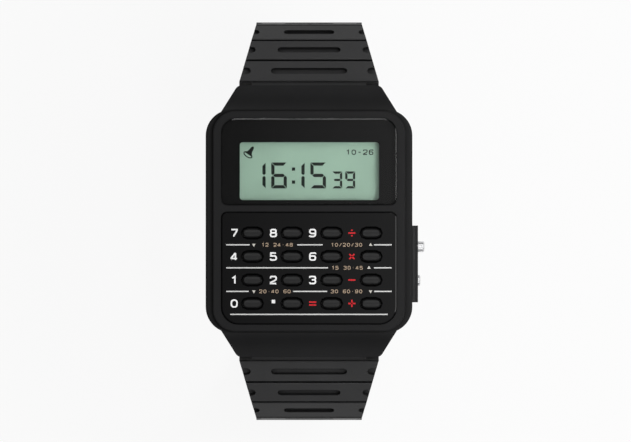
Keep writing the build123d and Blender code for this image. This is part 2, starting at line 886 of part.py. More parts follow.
def make_pusher(name, row, tip):
    """One pusher: a round cap in its well and a thin shaft, with a groove for its clip inside."""
    with BuildPart() as pusher:
        cap = along_x(pusher_cap_inner, row, pusher_height)
        extrude(disc_face(cap, pusher_cap_radius, steps=cap_steps), amount=tip - pusher_cap_inner)
        chamfer(pusher.edges().group_by(Axis.X)[-1], pusher_chamfer)
        extrude(
            disc_face(along_x(shaft_end, row, pusher_height), shaft_radius),
            amount=pusher_cap_inner - shaft_end,
        )
        groove = along_x(clip_place - thread_gap, row, pusher_height)
        extrude(
            disc_face(groove, shaft_radius + thread_gap, hole=clip_groove_radius),
            amount=clip_thickness + 2 * thread_gap,
            mode=Mode.SUBTRACT,
        )
    finish(pusher, f"{name}_pusher")


def make_clip(name, row):
    """The open clip that keeps a pusher from leaving the case."""
    with BuildPart() as clip:
        with BuildSketch(along_x(clip_place, row, pusher_height)):
            RegularPolygon(clip_radius, disc_steps)
            RegularPolygon(clip_groove_radius + thread_gap, disc_steps, mode=Mode.SUBTRACT)
            with Locations((0, -clip_radius)):
                Rectangle(2 * clip_groove_radius, 2 * clip_radius, mode=Mode.SUBTRACT)
        extrude(amount=clip_thickness)
    finish(clip, f"{name}_clip")


def make_pusher_spring(name, row):
    """The coil between the floor of a pusher's well and the pusher's cap, in short straight runs."""
    coil_rise = pusher_cap_inner - pusher_well_floor - 2 * coil_wire
    coil_start = pusher_well_floor + coil_wire
    turns = [step / coil_sides for step in range(coil_sides * coil_turns + 1)]
    points = [
        (
            coil_start + coil_rise * turn / coil_turns,
            row + coil_radius * cos(2 * pi * turn),
            pusher_height + coil_radius * sin(2 * pi * turn),
        )
        for turn in turns
    ]
    with BuildPart() as spring:
        with BuildLine() as coil:
            Polyline(*points)
        with BuildSketch(Plane(origin=coil.line @ 0, x_dir=(1, 0, 0), z_dir=coil.line % 0)):
            Rectangle(coil_wire, coil_wire)
        sweep(transition=Transition.RIGHT)
    finish(spring, f"{name}_spring")


# Pushers with their springs and clips: mode above, adjust below
for name, row, tip in zip(("mode", "adjust"), pusher_rows, pusher_tips):
    make_pusher(name, row, tip)
    make_clip(name, row)
    make_pusher_spring(name, row)

# Rubber seals in the two pusher bores
with BuildPart() as pusher_seals:
    seal_places = [(row, pusher_height) for row in pusher_rows]
    seal_rings = disc_face(
        along_x(seal_place + thread_gap, 0, 0), seal_radius, seal_places, hole=shaft_radius + thread_gap
    )
    extrude(seal_rings, amount=seal_length)
finish(pusher_seals, "pusher_seals")


def make_bar_tube(name, side):
    """The steel tube of a spring bar, drawn in at both ends to keep the tips' collars inside."""
    tube_half = bar_tube_length / 2
    with BuildPart() as tube:
        middle = along_x(0, side * bar_y, bar_height)
        extrude(disc_face(middle, bar_tube_radius), amount=tube_half, both=True)
        extrude(
            disc_face(middle, bar_tube_radius - bar_tube_wall),
            amount=tube_half - bar_tube_wall,
            both=True,
            mode=Mode.SUBTRACT,
        )
        extrude(
            disc_face(middle, bar_tip_radius + bar_hole_gap), amount=tube_half, both=True, mode=Mode.SUBTRACT
        )
    finish(tube, name)


def make_bar_tip(name, side, end):
    """One tip of a spring bar: a pin into the case and a collar inside the tube."""
    collar_face = bar_tube_length / 2 - bar_tube_wall - bar_hole_gap
    with BuildPart() as tip:
        inner_end = along_x(end * (collar_face - bar_collar_length), side * bar_y, bar_height)
        extrude(
            disc_face(inner_end, bar_tip_radius),
            amount=end * (bar_tip_reach - collar_face + bar_collar_length),
        )
        extrude(disc_face(inner_end, bar_collar_radius), amount=end * bar_collar_length)
    finish(tip, name)


for name, side in (("upper", 1), ("lower", -1)):
    make_bar_tube(f"{name}_bar_tube", side)
    make_bar_tip(f"{name}_bar_tip_right", side, 1)
    make_bar_tip(f"{name}_bar_tip_left", side, -1)

# The closely wound spring inside each spring bar, as the sleeve that its coils fill
with BuildPart() as bar_springs:
    sleeve_half = bar_tube_length / 2 - bar_tube_wall - 2 * bar_hole_gap - bar_collar_length
    sleeve_radius = bar_collar_radius - thread_gap
    bar_places = [(bar_y, bar_height), (-bar_y, bar_height)]
    sleeves = disc_face(Plane.YZ, sleeve_radius, bar_places, hole=sleeve_radius - bar_coil_wall)
    extrude(sleeves, amount=sleeve_half, both=True)
finish(bar_springs, "bar_springs")


def offset_points(points, distance):
    """The corners of a path moved sideways, toward the wrist when distance is above zero."""
    directions = [(after - before).normalized() for before, after in zip(points, points[1:])]
    normals = [Vector(direction.Y, -direction.X) for direction in directions]
    corners = [
        point + (first + second) * (distance / (1 + first.dot(second)))
        for point, first, second in zip(points[1:-1], normals, normals[1:])
    ]
    return [points[0] + normals[0] * distance, *corners, points[-1] + normals[-1] * distance]


def downward(degrees):
    """The direction in the side view that leaves the case and dips by an angle."""
    return Vector(cos(radians(degrees)), -sin(radians(degrees)))


# Corners of the links' outer face in the side view, from the hood outward and down
bar_axis = Vector(bar_y, bar_height)
root_along = downward(link_angles[0])
root_across = Vector(root_along.Y, -root_along.X)
root_travel = sqrt(strap_root_radius**2 - strap_rise**2)
link_points = [bar_axis + root_along * root_travel - root_across * strap_rise]
for link_angle in link_angles:
    link_points.append(link_points[-1] + downward(link_angle) * link_pitch)
base_points = offset_points(link_points, pad_thickness)
base_radii = [bend_radius] * (len(link_angles) - 1)
band_y = base_points[-1].X


def strap_profile(end_points, end_radii):
    """The side view of a strap half: the band with the raised pads of the links on it."""
    outer = base_points[:-1] + end_points
    inner = offset_points(outer, band_thickness)
    outer_radii = base_radii + end_radii
    inner_radii = [radius - band_thickness for radius in outer_radii]
    with BuildSketch(Plane.YZ, mode=Mode.PRIVATE) as profile:
        with BuildLine():
            FilletPolyline(*outer, radius=outer_radii)
            FilletPolyline(*inner, radius=inner_radii)
            Line(outer[0], inner[0])
            Line(outer[-1], inner[-1])
        make_face()
        for start, end in zip(link_points, link_points[1:]):
            along = (end - start).normalized()
            across = Vector(along.Y, -along.X)
            inset = along * (pad_groove / 2)
            slope = along * pad_slope
            deep = across * (pad_thickness + band_thickness / 3)
            with BuildLine():
                Polyline(
                    start + inset + deep,
                    start + inset + across * pad_slope,
                    start + inset + slope,
                    end - inset - slope,
                    end - inset + across * pad_slope,
                    end - inset + deep,
                    close=True,
                )
            make_face()
    return profile.sketch


def make_half(profile):
    """A strap half: the tapered links, the band, the cuts in each link, and the tang at the root."""
    lowest = link_points[-2]
    with BuildPart() as links:
        extrude(profile, amount=link_widths[0] / 2, both=True)
        with BuildSketch(Plane.XY.offset(lowest.Y)):
            with BuildLine():
                right_side = [(width / 2, point.X) for width, point in zip(link_widths, link_points[:-1])]
                right_side = [
                    (link_widths[0] / 2, bar_y),
                    *right_side,
                    (link_widths[-1] / 2, lowest.X + cut_over),
                ]
                left_side = [(-x, y) for x, y in reversed(right_side)]
                Polyline(*right_side, *left_side, close=True)
            make_face()
        extrude(amount=link_points[0].Y - lowest.Y + cut_over, mode=Mode.INTERSECT)
    with BuildPart() as half:
        extrude(profile, amount=band_width / 2, both=True)
        add(links.part)
        # A slot in the middle of each link's outer face and a notch at each side of it
        for index, (start, end) in enumerate(zip(link_points, link_points[1:])):
            middle = (start + end) / 2
            along = (end - start).normalized()
            face = Plane(origin=(0, middle.X, middle.Y), x_dir=(1, 0, 0), z_dir=(0, -along.Y, along.X))
            side = (link_widths[index] + link_widths[index + 1]) / 4
            extrude(
                pill_face(face, slot_lengths[index], slot_width), amount=-slot_depth, mode=Mode.SUBTRACT
            )
            extrude(
                pill_face(face, 2 * notch_reaches[index], notch_width, [(side, 0), (-side, 0)]),
                amount=-slot_depth,
                mode=Mode.SUBTRACT,
            )
        # Root hollowed round the spring bar
        with BuildSketch(Plane.YZ):
            with Locations((bar_y, bar_height)):
                Circle(strap_root_radius)
        extrude(amount=link_widths[0] / 2, both=True, mode=Mode.SUBTRACT)
        # Tang and neck, then the bar's hole
        with BuildSketch(Plane.YZ):
            with BuildLine():
                neck_side = root_across * (tang_neck / 2)
                neck_end = bar_axis + root_along * (strap_root_radius + band_thickness / 2)
                Polyline(
                    bar_axis + neck_side,
                    neck_end + neck_side,
                    neck_end - neck_side,
                    bar_axis - neck_side,
                    close=True,
                )
            make_face()
            with Locations((bar_y, bar_height)):
                Circle(tang_radius)
        extrude(amount=tang_width / 2, both=True)
        bar_hole = disc_face(Plane.YZ, bar_tube_radius + running_gap, [(bar_y, bar_height)])
        extrude(bar_hole, amount=tang_width / 2, both=True, mode=Mode.SUBTRACT)
    return half.part


# Short strap half: it ends in a knuckle round the buckle's bar, slotted for the tongue
buckle_y = band_y - short_turn - short_run
buckle_z = short_floor + band_thickness / 2
short_profile = strap_profile(
    [Vector(band_y, short_floor), Vector(buckle_y, short_floor)], [short_turn]
)
with BuildPart() as upper_strap:
    add(make_half(short_profile))
    with BuildSketch(Plane.YZ):
        with Locations((buckle_y, buckle_z)):
            Circle(knuckle_radius)
    extrude(amount=band_width / 2, both=True)
    knuckle_hole = disc_face(Plane.YZ, buckle_bar_radius + running_gap, [(buckle_y, buckle_z)])
    extrude(knuckle_hole, amount=band_width / 2, both=True, mode=Mode.SUBTRACT)
    with BuildSketch(Plane.XY.offset(buckle_z)):
        with Locations((0, buckle_y + knuckle_slot_depth)):
            Rectangle(
                knuckle_slot_width,
                knuckle_slot_depth + knuckle_radius + cut_over,
                align=(Align.CENTER, Align.MAX),
            )
    extrude(amount=knuckle_radius + cut_over, both=True, mode=Mode.SUBTRACT)
finish(upper_strap, "upper_strap")

# Long strap half, shaped on the same side as the short one and mirrored to 6 o'clock
tip_tangent = tip_turn * tan(radians(tip_angle / 2))
run_end = Vector(band_y - long_turn - long_run - tip_tangent, long_floor)
tip_rise = Vector(-cos(radians(tip_angle)), sin(radians(tip_angle)))
long_points = [Vector(band_y, long_floor), run_end, run_end + tip_rise * (tip_tangent + tip_straight)]
long_profile = strap_profile(long_points, [long_turn, tip_turn])
with BuildLine() as long_middle:
    middle_radii = [radius - band_thickness / 2 for radius in base_radii + [long_turn, tip_turn]]
    FilletPolyline(
        *offset_points(base_points[:-1] + long_points, band_thickness / 2), radius=middle_radii
    )
with BuildPart() as long_half:
    add(make_half(long_profile))
    tip_face = long_half.faces().sort_by(Axis.Y)[0]
    fillet(tip_face.edges().sort_by(SortBy.LENGTH)[:2], tip_corner)
    # Holes for the tongue, evenly along the band from the tip
    middle_wire = long_middle.wires()[0]
    for hole in range(tongue_hole_count):
        travel = middle_wire.length - tongue_hole_first - hole * tongue_hole_pitch
        place = middle_wire.position_at(travel, position_mode=PositionMode.LENGTH)
        along = middle_wire.tangent_at(travel, position_mode=PositionMode.LENGTH)
        across_band = Plane(
            origin=(0, place.X, place.Y), x_dir=(1, 0, 0), z_dir=(0, -along.Y, along.X)
        )
        extrude(
            pill_face(across_band, tongue_hole_length, tongue_hole_width),
            amount=band_thickness,
            both=True,
            mode=Mode.SUBTRACT,
        )
with BuildPart() as lower_strap:
    add(long_half.part.mirror(Plane.XZ))
finish(lower_strap, "lower_strap")

# Buckle bar, held in the frame's arms
buckle_inner = band_width / 2 + buckle_side_gap
buckle_outer = buckle_inner + buckle_arm_width
with BuildPart() as buckle_bar:
    bar_round = disc_face(Plane.YZ, buckle_bar_radius, [(buckle_y, buckle_z)])
    extrude(bar_round, amount=buckle_outer - buckle_bar_inset, both=True)
finish(buckle_bar, "buckle_bar")

# Buckle frame: two arms past the strap's edges, joined by a crossbar under the tongue
buckle_heel = 2 * buckle_bar_radius
with BuildPart() as buckle_frame:
    with BuildSketch(Plane.XY.offset(buckle_z - buckle_thickness / 2)) as frame_plan:
        with Locations((0, buckle_y + buckle_heel)):
            Rectangle(2 * buckle_outer, buckle_heel + buckle_reach, align=(Align.CENTER, Align.MAX))
        fillet(frame_plan.vertices().group_by(Axis.Y)[0], buckle_crossbar)
        fillet(frame_plan.vertices().group_by(Axis.Y)[-1], buckle_arm_width / 3)
        with Locations((0, buckle_y + buckle_heel)):
            Rectangle(
                2 * buckle_inner,
                buckle_heel + buckle_reach - buckle_crossbar,
                align=(Align.CENTER, Align.MAX),
                mode=Mode.SUBTRACT,
            )
    extrude(amount=buckle_thickness)
    chamfer(buckle_frame.edges().group_by(Axis.Z)[0], buckle_round)
    bar_seat = disc_face(Plane.YZ, buckle_bar_radius + thread_gap, [(buckle_y, buckle_z)])
    extrude(bar_seat, amount=buckle_outer, both=True, mode=Mode.SUBTRACT)
finish(buckle_frame, "buckle_frame")

# Tongue: an eye round the bar and a flat finger that rests on the crossbar's outer side
finger_top = buckle_z - buckle_thickness / 2 - running_gap
finger_end = buckle_y - buckle_reach - tongue_overhang
with BuildPart() as buckle_tongue:
    with BuildSketch(Plane.YZ):
        with Locations((buckle_y, buckle_z)):
            Circle(tongue_eye_radius)
        with BuildLine():
            Polyline(
                (buckle_y, finger_top),
                (finger_end, finger_top),
                (finger_end + tongue_thickness / 2, finger_top - tongue_thickness),
                (buckle_y - tongue_eye_radius, finger_top - tongue_thickness),
                (buckle_y, buckle_z - tongue_eye_radius),
                close=True,
            )
        make_face()
        with Locations((buckle_y, buckle_z)):
            RegularPolygon(buckle_bar_radius + running_gap, disc_steps, mode=Mode.SUBTRACT)
    extrude(amount=tongue_width / 2, both=True)
finish(buckle_tongue, "buckle_tongue")

# Keeper: a loop that slides on the short half and takes the long half's tip
with BuildPart() as strap_keeper:
    keeper_y = buckle_y + keeper_from_bar
    keeper_high = short_floor + band_thickness + keeper_side_gap
    with BuildSketch(Plane.XZ.offset(-keeper_y)):
        with Locations((0, keeper_high - keeper_opening / 2)):
            keeper_inner = band_width + 2 * keeper_side_gap
            RectangleRounded(
                keeper_inner + 2 * keeper_wall, keeper_opening + 2 * keeper_wall, keeper_wall
            )
            Rectangle(keeper_inner, keeper_opening, mode=Mode.SUBTRACT)
    extrude(amount=keeper_length / 2, both=True)
finish(strap_keeper, "strap_keeper")
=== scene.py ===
"""Finishes, printed legends, display marks and studio light of a black resin calculator watch."""
from math import cos, pi, radians, sin

import bmesh
import bpy
from mathutils import Matrix, Vector


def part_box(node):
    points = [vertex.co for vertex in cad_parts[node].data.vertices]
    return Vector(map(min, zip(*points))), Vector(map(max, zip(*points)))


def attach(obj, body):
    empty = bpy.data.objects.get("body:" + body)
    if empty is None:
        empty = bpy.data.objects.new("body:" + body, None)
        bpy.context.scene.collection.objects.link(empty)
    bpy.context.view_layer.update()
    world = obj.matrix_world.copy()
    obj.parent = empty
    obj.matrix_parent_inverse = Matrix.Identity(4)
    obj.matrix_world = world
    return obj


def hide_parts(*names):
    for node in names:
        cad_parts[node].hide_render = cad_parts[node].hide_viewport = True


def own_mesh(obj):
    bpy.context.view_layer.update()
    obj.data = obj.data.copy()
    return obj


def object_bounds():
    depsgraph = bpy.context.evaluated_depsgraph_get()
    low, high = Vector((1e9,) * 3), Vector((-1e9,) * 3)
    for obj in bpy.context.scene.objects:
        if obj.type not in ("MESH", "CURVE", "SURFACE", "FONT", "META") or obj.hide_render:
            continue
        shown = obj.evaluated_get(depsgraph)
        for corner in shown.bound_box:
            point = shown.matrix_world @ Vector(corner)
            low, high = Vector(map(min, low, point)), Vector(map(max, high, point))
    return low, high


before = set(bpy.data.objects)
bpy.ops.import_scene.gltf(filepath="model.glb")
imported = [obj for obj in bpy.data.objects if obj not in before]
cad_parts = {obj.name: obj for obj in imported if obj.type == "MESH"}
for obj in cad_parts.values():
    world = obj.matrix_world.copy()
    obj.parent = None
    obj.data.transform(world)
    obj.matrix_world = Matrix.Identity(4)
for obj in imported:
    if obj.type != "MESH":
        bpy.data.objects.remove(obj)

mm = 0.001
cad_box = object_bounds()


# Case: one moulding of black resin, satin on its flats from a finely etched mould.
# Its texture is shared by every moulded piece of the watch, each with its own grain.
def add_sockets(group, inputs, outputs):
    """Name the inputs and outputs of a shared surface."""
    kinds = {"color": "NodeSocketColor", "value": "NodeSocketFloat", "vector": "NodeSocketVector"}
    for direction, sockets in (("INPUT", inputs), ("OUTPUT", outputs)):
        for name, kind in sockets:
            group.interface.new_socket(name, in_out=direction, socket_type=kinds[kind])


def make_moulded_surface():
    """Drift of tone and sheen, a grain that stands up a few microns, and painted shade that darkens
    nooks and recesses.
    """
    group = bpy.data.node_groups.new("moulded surface", "ShaderNodeTree")
    add_sockets(
        group,
        (("Tone", "color"), ("Drift", "value"), ("Roughness", "value"), ("Grain Size", "value"),
         ("Grain Height", "value"), ("Painted Shade Reach", "value"), ("Painted Shade Strength", "value")),
        (("Color", "color"), ("Roughness", "value"), ("Normal", "vector")),
    )
    nodes = group.nodes
    given = nodes.new("NodeGroupInput")
    result = nodes.new("NodeGroupOutput")
    # Painted shade: ambient occlusion darkens the colour in nooks, slots and recesses, by up to the
    # given strength.
    painted_shade_occlusion = nodes.new("ShaderNodeAmbientOcclusion")
    painted_shade_occlusion.samples = 8
    painted_shade = nodes.new("ShaderNodeMapRange")
    painted_shade.inputs["From Min"].default_value = 0.5
    painted_shade_floor = nodes.new("ShaderNodeMath")
    painted_shade_floor.operation = "SUBTRACT"
    painted_shade_floor.inputs[0].default_value = 1
    value = nodes.new("ShaderNodeMath")
    value.operation = "MULTIPLY"
    place = nodes.new("ShaderNodeTexCoord")
    patches = nodes.new("ShaderNodeTexNoise")
    patches.inputs["Scale"].default_value = 160
    patches.inputs["Detail"].default_value = 3
    grain = nodes.new("ShaderNodeTexNoise")
    grain.inputs["Detail"].default_value = 4
    grain.inputs["Roughness"].default_value = 0.6
    fineness = nodes.new("ShaderNodeMath")
    fineness.operation = "DIVIDE"
    fineness.inputs[0].default_value = 1
    dark = nodes.new("ShaderNodeMath")
    dark.operation = "SUBTRACT"
    dark.inputs[0].default_value = 1
    light = nodes.new("ShaderNodeMath")
    light.operation = "ADD"
    light.inputs[0].default_value = 1
    drift = nodes.new("ShaderNodeMapRange")
    drift.inputs["From Min"].default_value = 0.3
    drift.inputs["From Max"].default_value = 0.7
    shade = nodes.new("ShaderNodeHueSaturation")
    sheen = nodes.new("ShaderNodeMapRange")
    sheen.inputs["From Min"].default_value = 0.2
    sheen.inputs["From Max"].default_value = 0.8
    smoother = nodes.new("ShaderNodeMath")
    smoother.operation = "MULTIPLY"
    smoother.inputs[1].default_value = 0.88
    rougher = nodes.new("ShaderNodeMath")
    rougher.operation = "MULTIPLY"
    rougher.inputs[1].default_value = 1.12
    relief = nodes.new("ShaderNodeBump")
    for start, end in (
        (place.outputs["Object"], patches.inputs["Vector"]),
        (place.outputs["Object"], grain.inputs["Vector"]),
        (given.outputs["Grain Size"], fineness.inputs[1]),
        (fineness.outputs[0], grain.inputs["Scale"]),
        (given.outputs["Drift"], dark.inputs[1]),
        (given.outputs["Drift"], light.inputs[1]),
        (patches.outputs["Fac"], drift.inputs["Value"]),
        (dark.outputs[0], drift.inputs["To Min"]),
        (light.outputs[0], drift.inputs["To Max"]),
        (given.outputs["Painted Shade Reach"], painted_shade_occlusion.inputs["Distance"]),
        (painted_shade_occlusion.outputs["AO"], painted_shade.inputs["Value"]),
        (given.outputs["Painted Shade Strength"], painted_shade_floor.inputs[1]),
        (painted_shade_floor.outputs[0], painted_shade.inputs["To Min"]),
        (drift.outputs["Result"], value.inputs[0]),
        (painted_shade.outputs["Result"], value.inputs[1]),
        (given.outputs["Tone"], shade.inputs["Color"]),
        (value.outputs[0], shade.inputs["Value"]),
        (given.outputs["Roughness"], smoother.inputs[0]),
        (given.outputs["Roughness"], rougher.inputs[0]),
        (grain.outputs["Fac"], sheen.inputs["Value"]),
        (smoother.outputs[0], sheen.inputs["To Min"]),
        (rougher.outputs[0], sheen.inputs["To Max"]),
        (grain.outputs["Fac"], relief.inputs["Height"]),
        (given.outputs["Grain Height"], relief.inputs["Distance"]),
        (shade.outputs["Color"], result.inputs["Color"]),
        (sheen.outputs["Result"], result.inputs["Roughness"]),
        (relief.outputs["Normal"], result.inputs["Normal"]),
    ):
        group.links.new(start, end)
    return group


def make_finish(name, surface, values, gloss=0.5, metal=0.0):
    """A material whose colour, roughness and normal come from a shared surface."""
    material = bpy.data.materials.new(name)
    material.use_nodes = True
    tree = material.node_tree
    shader = tree.nodes["Principled BSDF"]
    shader.inputs["Specular IOR Level"].default_value = gloss
    shader.inputs["Metallic"].default_value = metal
    texture = tree.nodes.new("ShaderNodeGroup")
    texture.node_tree = surface
    for socket, value in values.items():
        texture.inputs[socket].default_value = (*value, 1) if isinstance(value, tuple) else value
    tree.links.new(texture.outputs["Color"], shader.inputs["Base Color"])
    tree.links.new(texture.outputs["Roughness"], shader.inputs["Roughness"])
    tree.links.new(texture.outputs["Normal"], shader.inputs["Normal"])
    return material


def dress(material, *names):
    """Give solids of the frame their finish."""
    for name in names:
        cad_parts[name].material_slots[0].material = material


moulded = make_moulded_surface()
# Its colour carries painted shade: darker in recesses and on the lug slopes next to the bezel's wall.
case_resin = make_finish(
    "case resin",
    moulded,
    {"Tone": (0.0115, 0.0115, 0.012), "Drift": 0.06, "Roughness": 0.5, "Grain Size": 0.16 * mm,
     "Grain Height": 0.004 * mm, "Painted Shade Reach": 4.5 * mm, "Painted Shade Strength": 0.8},
    gloss=0.13,
)
dress(case_resin, "case_shell")

# Crystal: a clear acrylic panel over the display, polished on its face and broken edge.
# Lamps pass straight through it, so that the display behind is lit as in air.
crystal_clear = bpy.data.materials.new("clear acrylic")
crystal_clear.use_nodes = True
crystal_tree = crystal_clear.node_tree
crystal_shader = crystal_tree.nodes["Principled BSDF"]
crystal_shader.inputs["Base Color"].default_value = (0.93, 0.95, 0.94, 1)
crystal_shader.inputs["Transmission Weight"].default_value = 1
crystal_shader.inputs["IOR"].default_value = 1.49
crystal_shader.inputs["Specular IOR Level"].default_value = 0.35
crystal_smears = crystal_tree.nodes.new("ShaderNodeTexNoise")
crystal_smears.inputs["Scale"].default_value = 220
crystal_smears.inputs["Detail"].default_value = 5
crystal_place = crystal_tree.nodes.new("ShaderNodeTexCoord")
crystal_polish = crystal_tree.nodes.new("ShaderNodeMapRange")
crystal_polish.inputs["To Min"].default_value = 0.01
crystal_polish.inputs["To Max"].default_value = 0.016
crystal_open = crystal_tree.nodes.new("ShaderNodeBsdfTransparent")
crystal_path = crystal_tree.nodes.new("ShaderNodeLightPath")
crystal_mix = crystal_tree.nodes.new("ShaderNodeMixShader")
crystal_out = crystal_tree.nodes["Material Output"]
for start, end in (
    (crystal_place.outputs["Object"], crystal_smears.inputs["Vector"]),
    (crystal_smears.outputs["Fac"], crystal_polish.inputs["Value"]),
    (crystal_polish.outputs["Result"], crystal_shader.inputs["Roughness"]),
    (crystal_path.outputs["Is Shadow Ray"], crystal_mix.inputs["Fac"]),
    (crystal_shader.outputs["BSDF"], crystal_mix.inputs[1]),
    (crystal_open.outputs["BSDF"], crystal_mix.inputs[2]),
    (crystal_mix.outputs["Shader"], crystal_out.inputs["Surface"]),
):
    crystal_tree.links.new(start, end)
dress(crystal_clear, "crystal")

# Display mask: black ink on the back of the crystal, open over the display.
# It is denser and flatter than the resin round it.
mask_ink = make_finish(
    "mask ink",
    moulded,
    {"Tone": (0.004, 0.004, 0.0042), "Drift": 0.03, "Roughness": 0.55, "Grain Size": 0.05 * mm,
     "Grain Height": 0.0001 * mm},
    gloss=0.1,
)
dress(mask_ink, "display_mask")

# Liquid crystal cell: two glasses with a grey-green polariser film on the front one.
# The film has a fine tooth and drifts a little in tone, as reflective displays do.
display_film = make_finish(
    "polariser film",
    moulded,
    {"Tone": (0.262, 0.385, 0.303), "Drift": 0.035, "Roughness": 0.5, "Grain Size": 0.08 * mm,
     "Grain Height": 0.001 * mm},
    gloss=0.3,
)
reflector_film = make_finish(
    "reflector film",
    moulded,
    {"Tone": (0.55, 0.58, 0.52), "Drift": 0.05, "Roughness": 0.4, "Grain Size": 0.1 * mm,
     "Grain Height": 0.002 * mm},
)
dress(display_film, "lcd_cell")
dress(reflector_film, "lcd_reflector")


# Display marks: dark segments of the time with small seconds, in the cell's plane.
# Each segment is cut on the slant where it meets its neighbours, with a thin gap between.
def add_flat(mesh, outline, level):
    """Add a flat shape from the corners of its outline."""
    mesh.faces.new([mesh.verts.new((x, y, level)) for x, y in outline])


def add_piece(name, mesh, material, body):
    """Turn a finished bmesh into a piece that rides on a body."""
    bmesh.ops.recalc_face_normals(mesh, faces=mesh.faces)
    data = bpy.data.meshes.new(name)
    mesh.to_mesh(data)
    mesh.free()
    data.materials.append(material)
    piece = bpy.data.objects.new(name, data)
    bpy.context.scene.collection.objects.link(piece)
    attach(piece, body)
    return piece


def add_print(name, mesh, thickness, material):
    """Raise flat shapes to the thickness of their ink and fix them to the case."""
    grown = bmesh.ops.extrude_face_region(mesh, geom=mesh.faces[:], use_keep_orig=True)["geom"]
    raised = [item for item in grown if isinstance(item, bmesh.types.BMVert)]
    bmesh.ops.translate(mesh, verts=raised, vec=(0, 0, thickness))
    return add_piece(name, mesh, material, "watch_case")


def segment_outlines(width, height, stroke, gap):
    """The seven segments of a digit, from its lower left corner, by their usual letters."""
    middle = height / 2
    half = stroke / 2
    top = [(gap, height), (width - gap, height), (width - stroke - gap, height - stroke),
           (stroke + gap, height - stroke)]
    upper_right = [(width, height - gap), (width, middle + half), (width - half, middle + gap),
                   (width - stroke, middle + half + gap), (width - stroke, height - stroke - gap)]
    bar = [(half + gap, middle), (stroke + gap, middle + half), (width - stroke - gap, middle + half),
           (width - half - gap, middle), (width - stroke - gap, middle - half),
           (stroke + gap, middle - half)]
    return {
        "a": top,
        "b": upper_right,
        "c": [(x, height - y) for x, y in upper_right],
        "d": [(x, height - y) for x, y in top],
        "e": [(width - x, height - y) for x, y in upper_right],
        "f": [(width - x, y) for x, y in upper_right],
        "g": bar,
    }


digit_segments = {"1": "bc", "3": "abcdg", "5": "acdfg", "6": "acdefg", "9": "abcdfg"}
mark_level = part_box("lcd_cell")[1].z
mark_thickness = 0.02 * mm
segment_gap = 0.05 * mm
time_base = 5.25 * mm
time_size = (2.5 * mm, 4.16 * mm, 0.52 * mm)
time_places = ((-9.45 * mm, "1"), (-6.05 * mm, "6"), (-3.2 * mm, "1"), (0.22 * mm, "5"))
second_size = (1.6 * mm, 2.72 * mm, 0.37 * mm)
second_places = ((3.72 * mm, "3"), (5.8 * mm, "9"))
marks = bmesh.new()
for size, places in ((time_size, time_places), (second_size, second_places)):
    outlines = segment_outlines(*size, segment_gap)
    for left, digit in places:
        for letter in digit_segments[digit]:
            outline = [(left + x, time_base + y) for x, y in outlines[letter]]
            add_flat(marks, outline, mark_level)
colon_x = -2.48 * mm
colon_half = 0.26 * mm
for colon_y in (6.27 * mm, 8.35 * mm):
    square = [(colon_x + across * colon_half, colon_y + up * colon_half)
              for across, up in ((-1, -1), (1, -1), (1, 1), (-1, 1))]
    add_flat(marks, square, mark_level)
display_ink = make_finish(
    "display marks",
    moulded,
    {"Tone": (0.002, 0.005, 0.0035), "Drift": 0.03, "Roughness": 0.5, "Grain Size": 0.08 * mm,
     "Grain Height": 0.001 * mm},
    gloss=0.1,
)
add_print("time_digits", marks, mark_thickness, display_ink)


# Bell mark: a little tilted bell with an open mouth, at the display's upper left.
# It is drawn in the same dark marks: a filled body over the ring of its mouth.
def add_stroke(mesh, points, closed, width, level):
    """Add a flat ribbon of one width along a line of points, mitred where it turns."""
    count = len(points)
    edges = []
    for index, point in enumerate(points):
        before = points[index - 1] if closed or index else None
        after = points[(index + 1) % count] if closed or index < count - 1 else None
        inward = (point - before).normalized() if before is not None else (after - point).normalized()
        outward = (after - point).normalized() if after is not None else inward
        along = (inward + outward).normalized()
        across = Vector((-along.y, along.x)) * width / 2 / max(along.dot(inward), 0.5)
        edges.append([mesh.verts.new((*(point + side * across), level)) for side in (-1, 1)])
    for index in range(count if closed else count - 1):
        right, left = edges[index]
        next_right, next_left = edges[(index + 1) % count]
        mesh.faces.new((right, next_right, next_left, left))


bell_middle = Vector((-9.47 * mm, 11.1 * mm, mark_level))
bell_height = 2.05 * mm
bell_turn = -34
bell_half_shares = ((0.05, 0.5), (0.12, 0.36), (0.16, 0.06), (0.23, -0.1), (0.36, -0.24))
mouth_shares = (0.36, 0.17)
mouth_drop_share = 0.27
mouth_stroke = 0.17 * mm
bell = bmesh.new()
bell_right = [(x * bell_height, y * bell_height) for x, y in bell_half_shares]
bell_left = [(-x, y) for x, y in reversed(bell_right)]
add_flat(bell, bell_left + bell_right, 0)
mouth_steps = 24
mouth = [Vector((mouth_shares[0] * cos(step * 2 * pi / mouth_steps),
                 mouth_shares[1] * sin(step * 2 * pi / mouth_steps) - mouth_drop_share)) * bell_height
         for step in range(mouth_steps)]
add_stroke(bell, mouth, True, mouth_stroke, 0)
bell_tilt = Matrix.Rotation(radians(bell_turn), 3, "Z")
bmesh.ops.rotate(bell, verts=bell.verts, cent=(0, 0, 0), matrix=bell_tilt)
bmesh.ops.translate(bell, verts=bell.verts, vec=bell_middle)
add_print("bell_mark", bell, mark_thickness, display_ink)

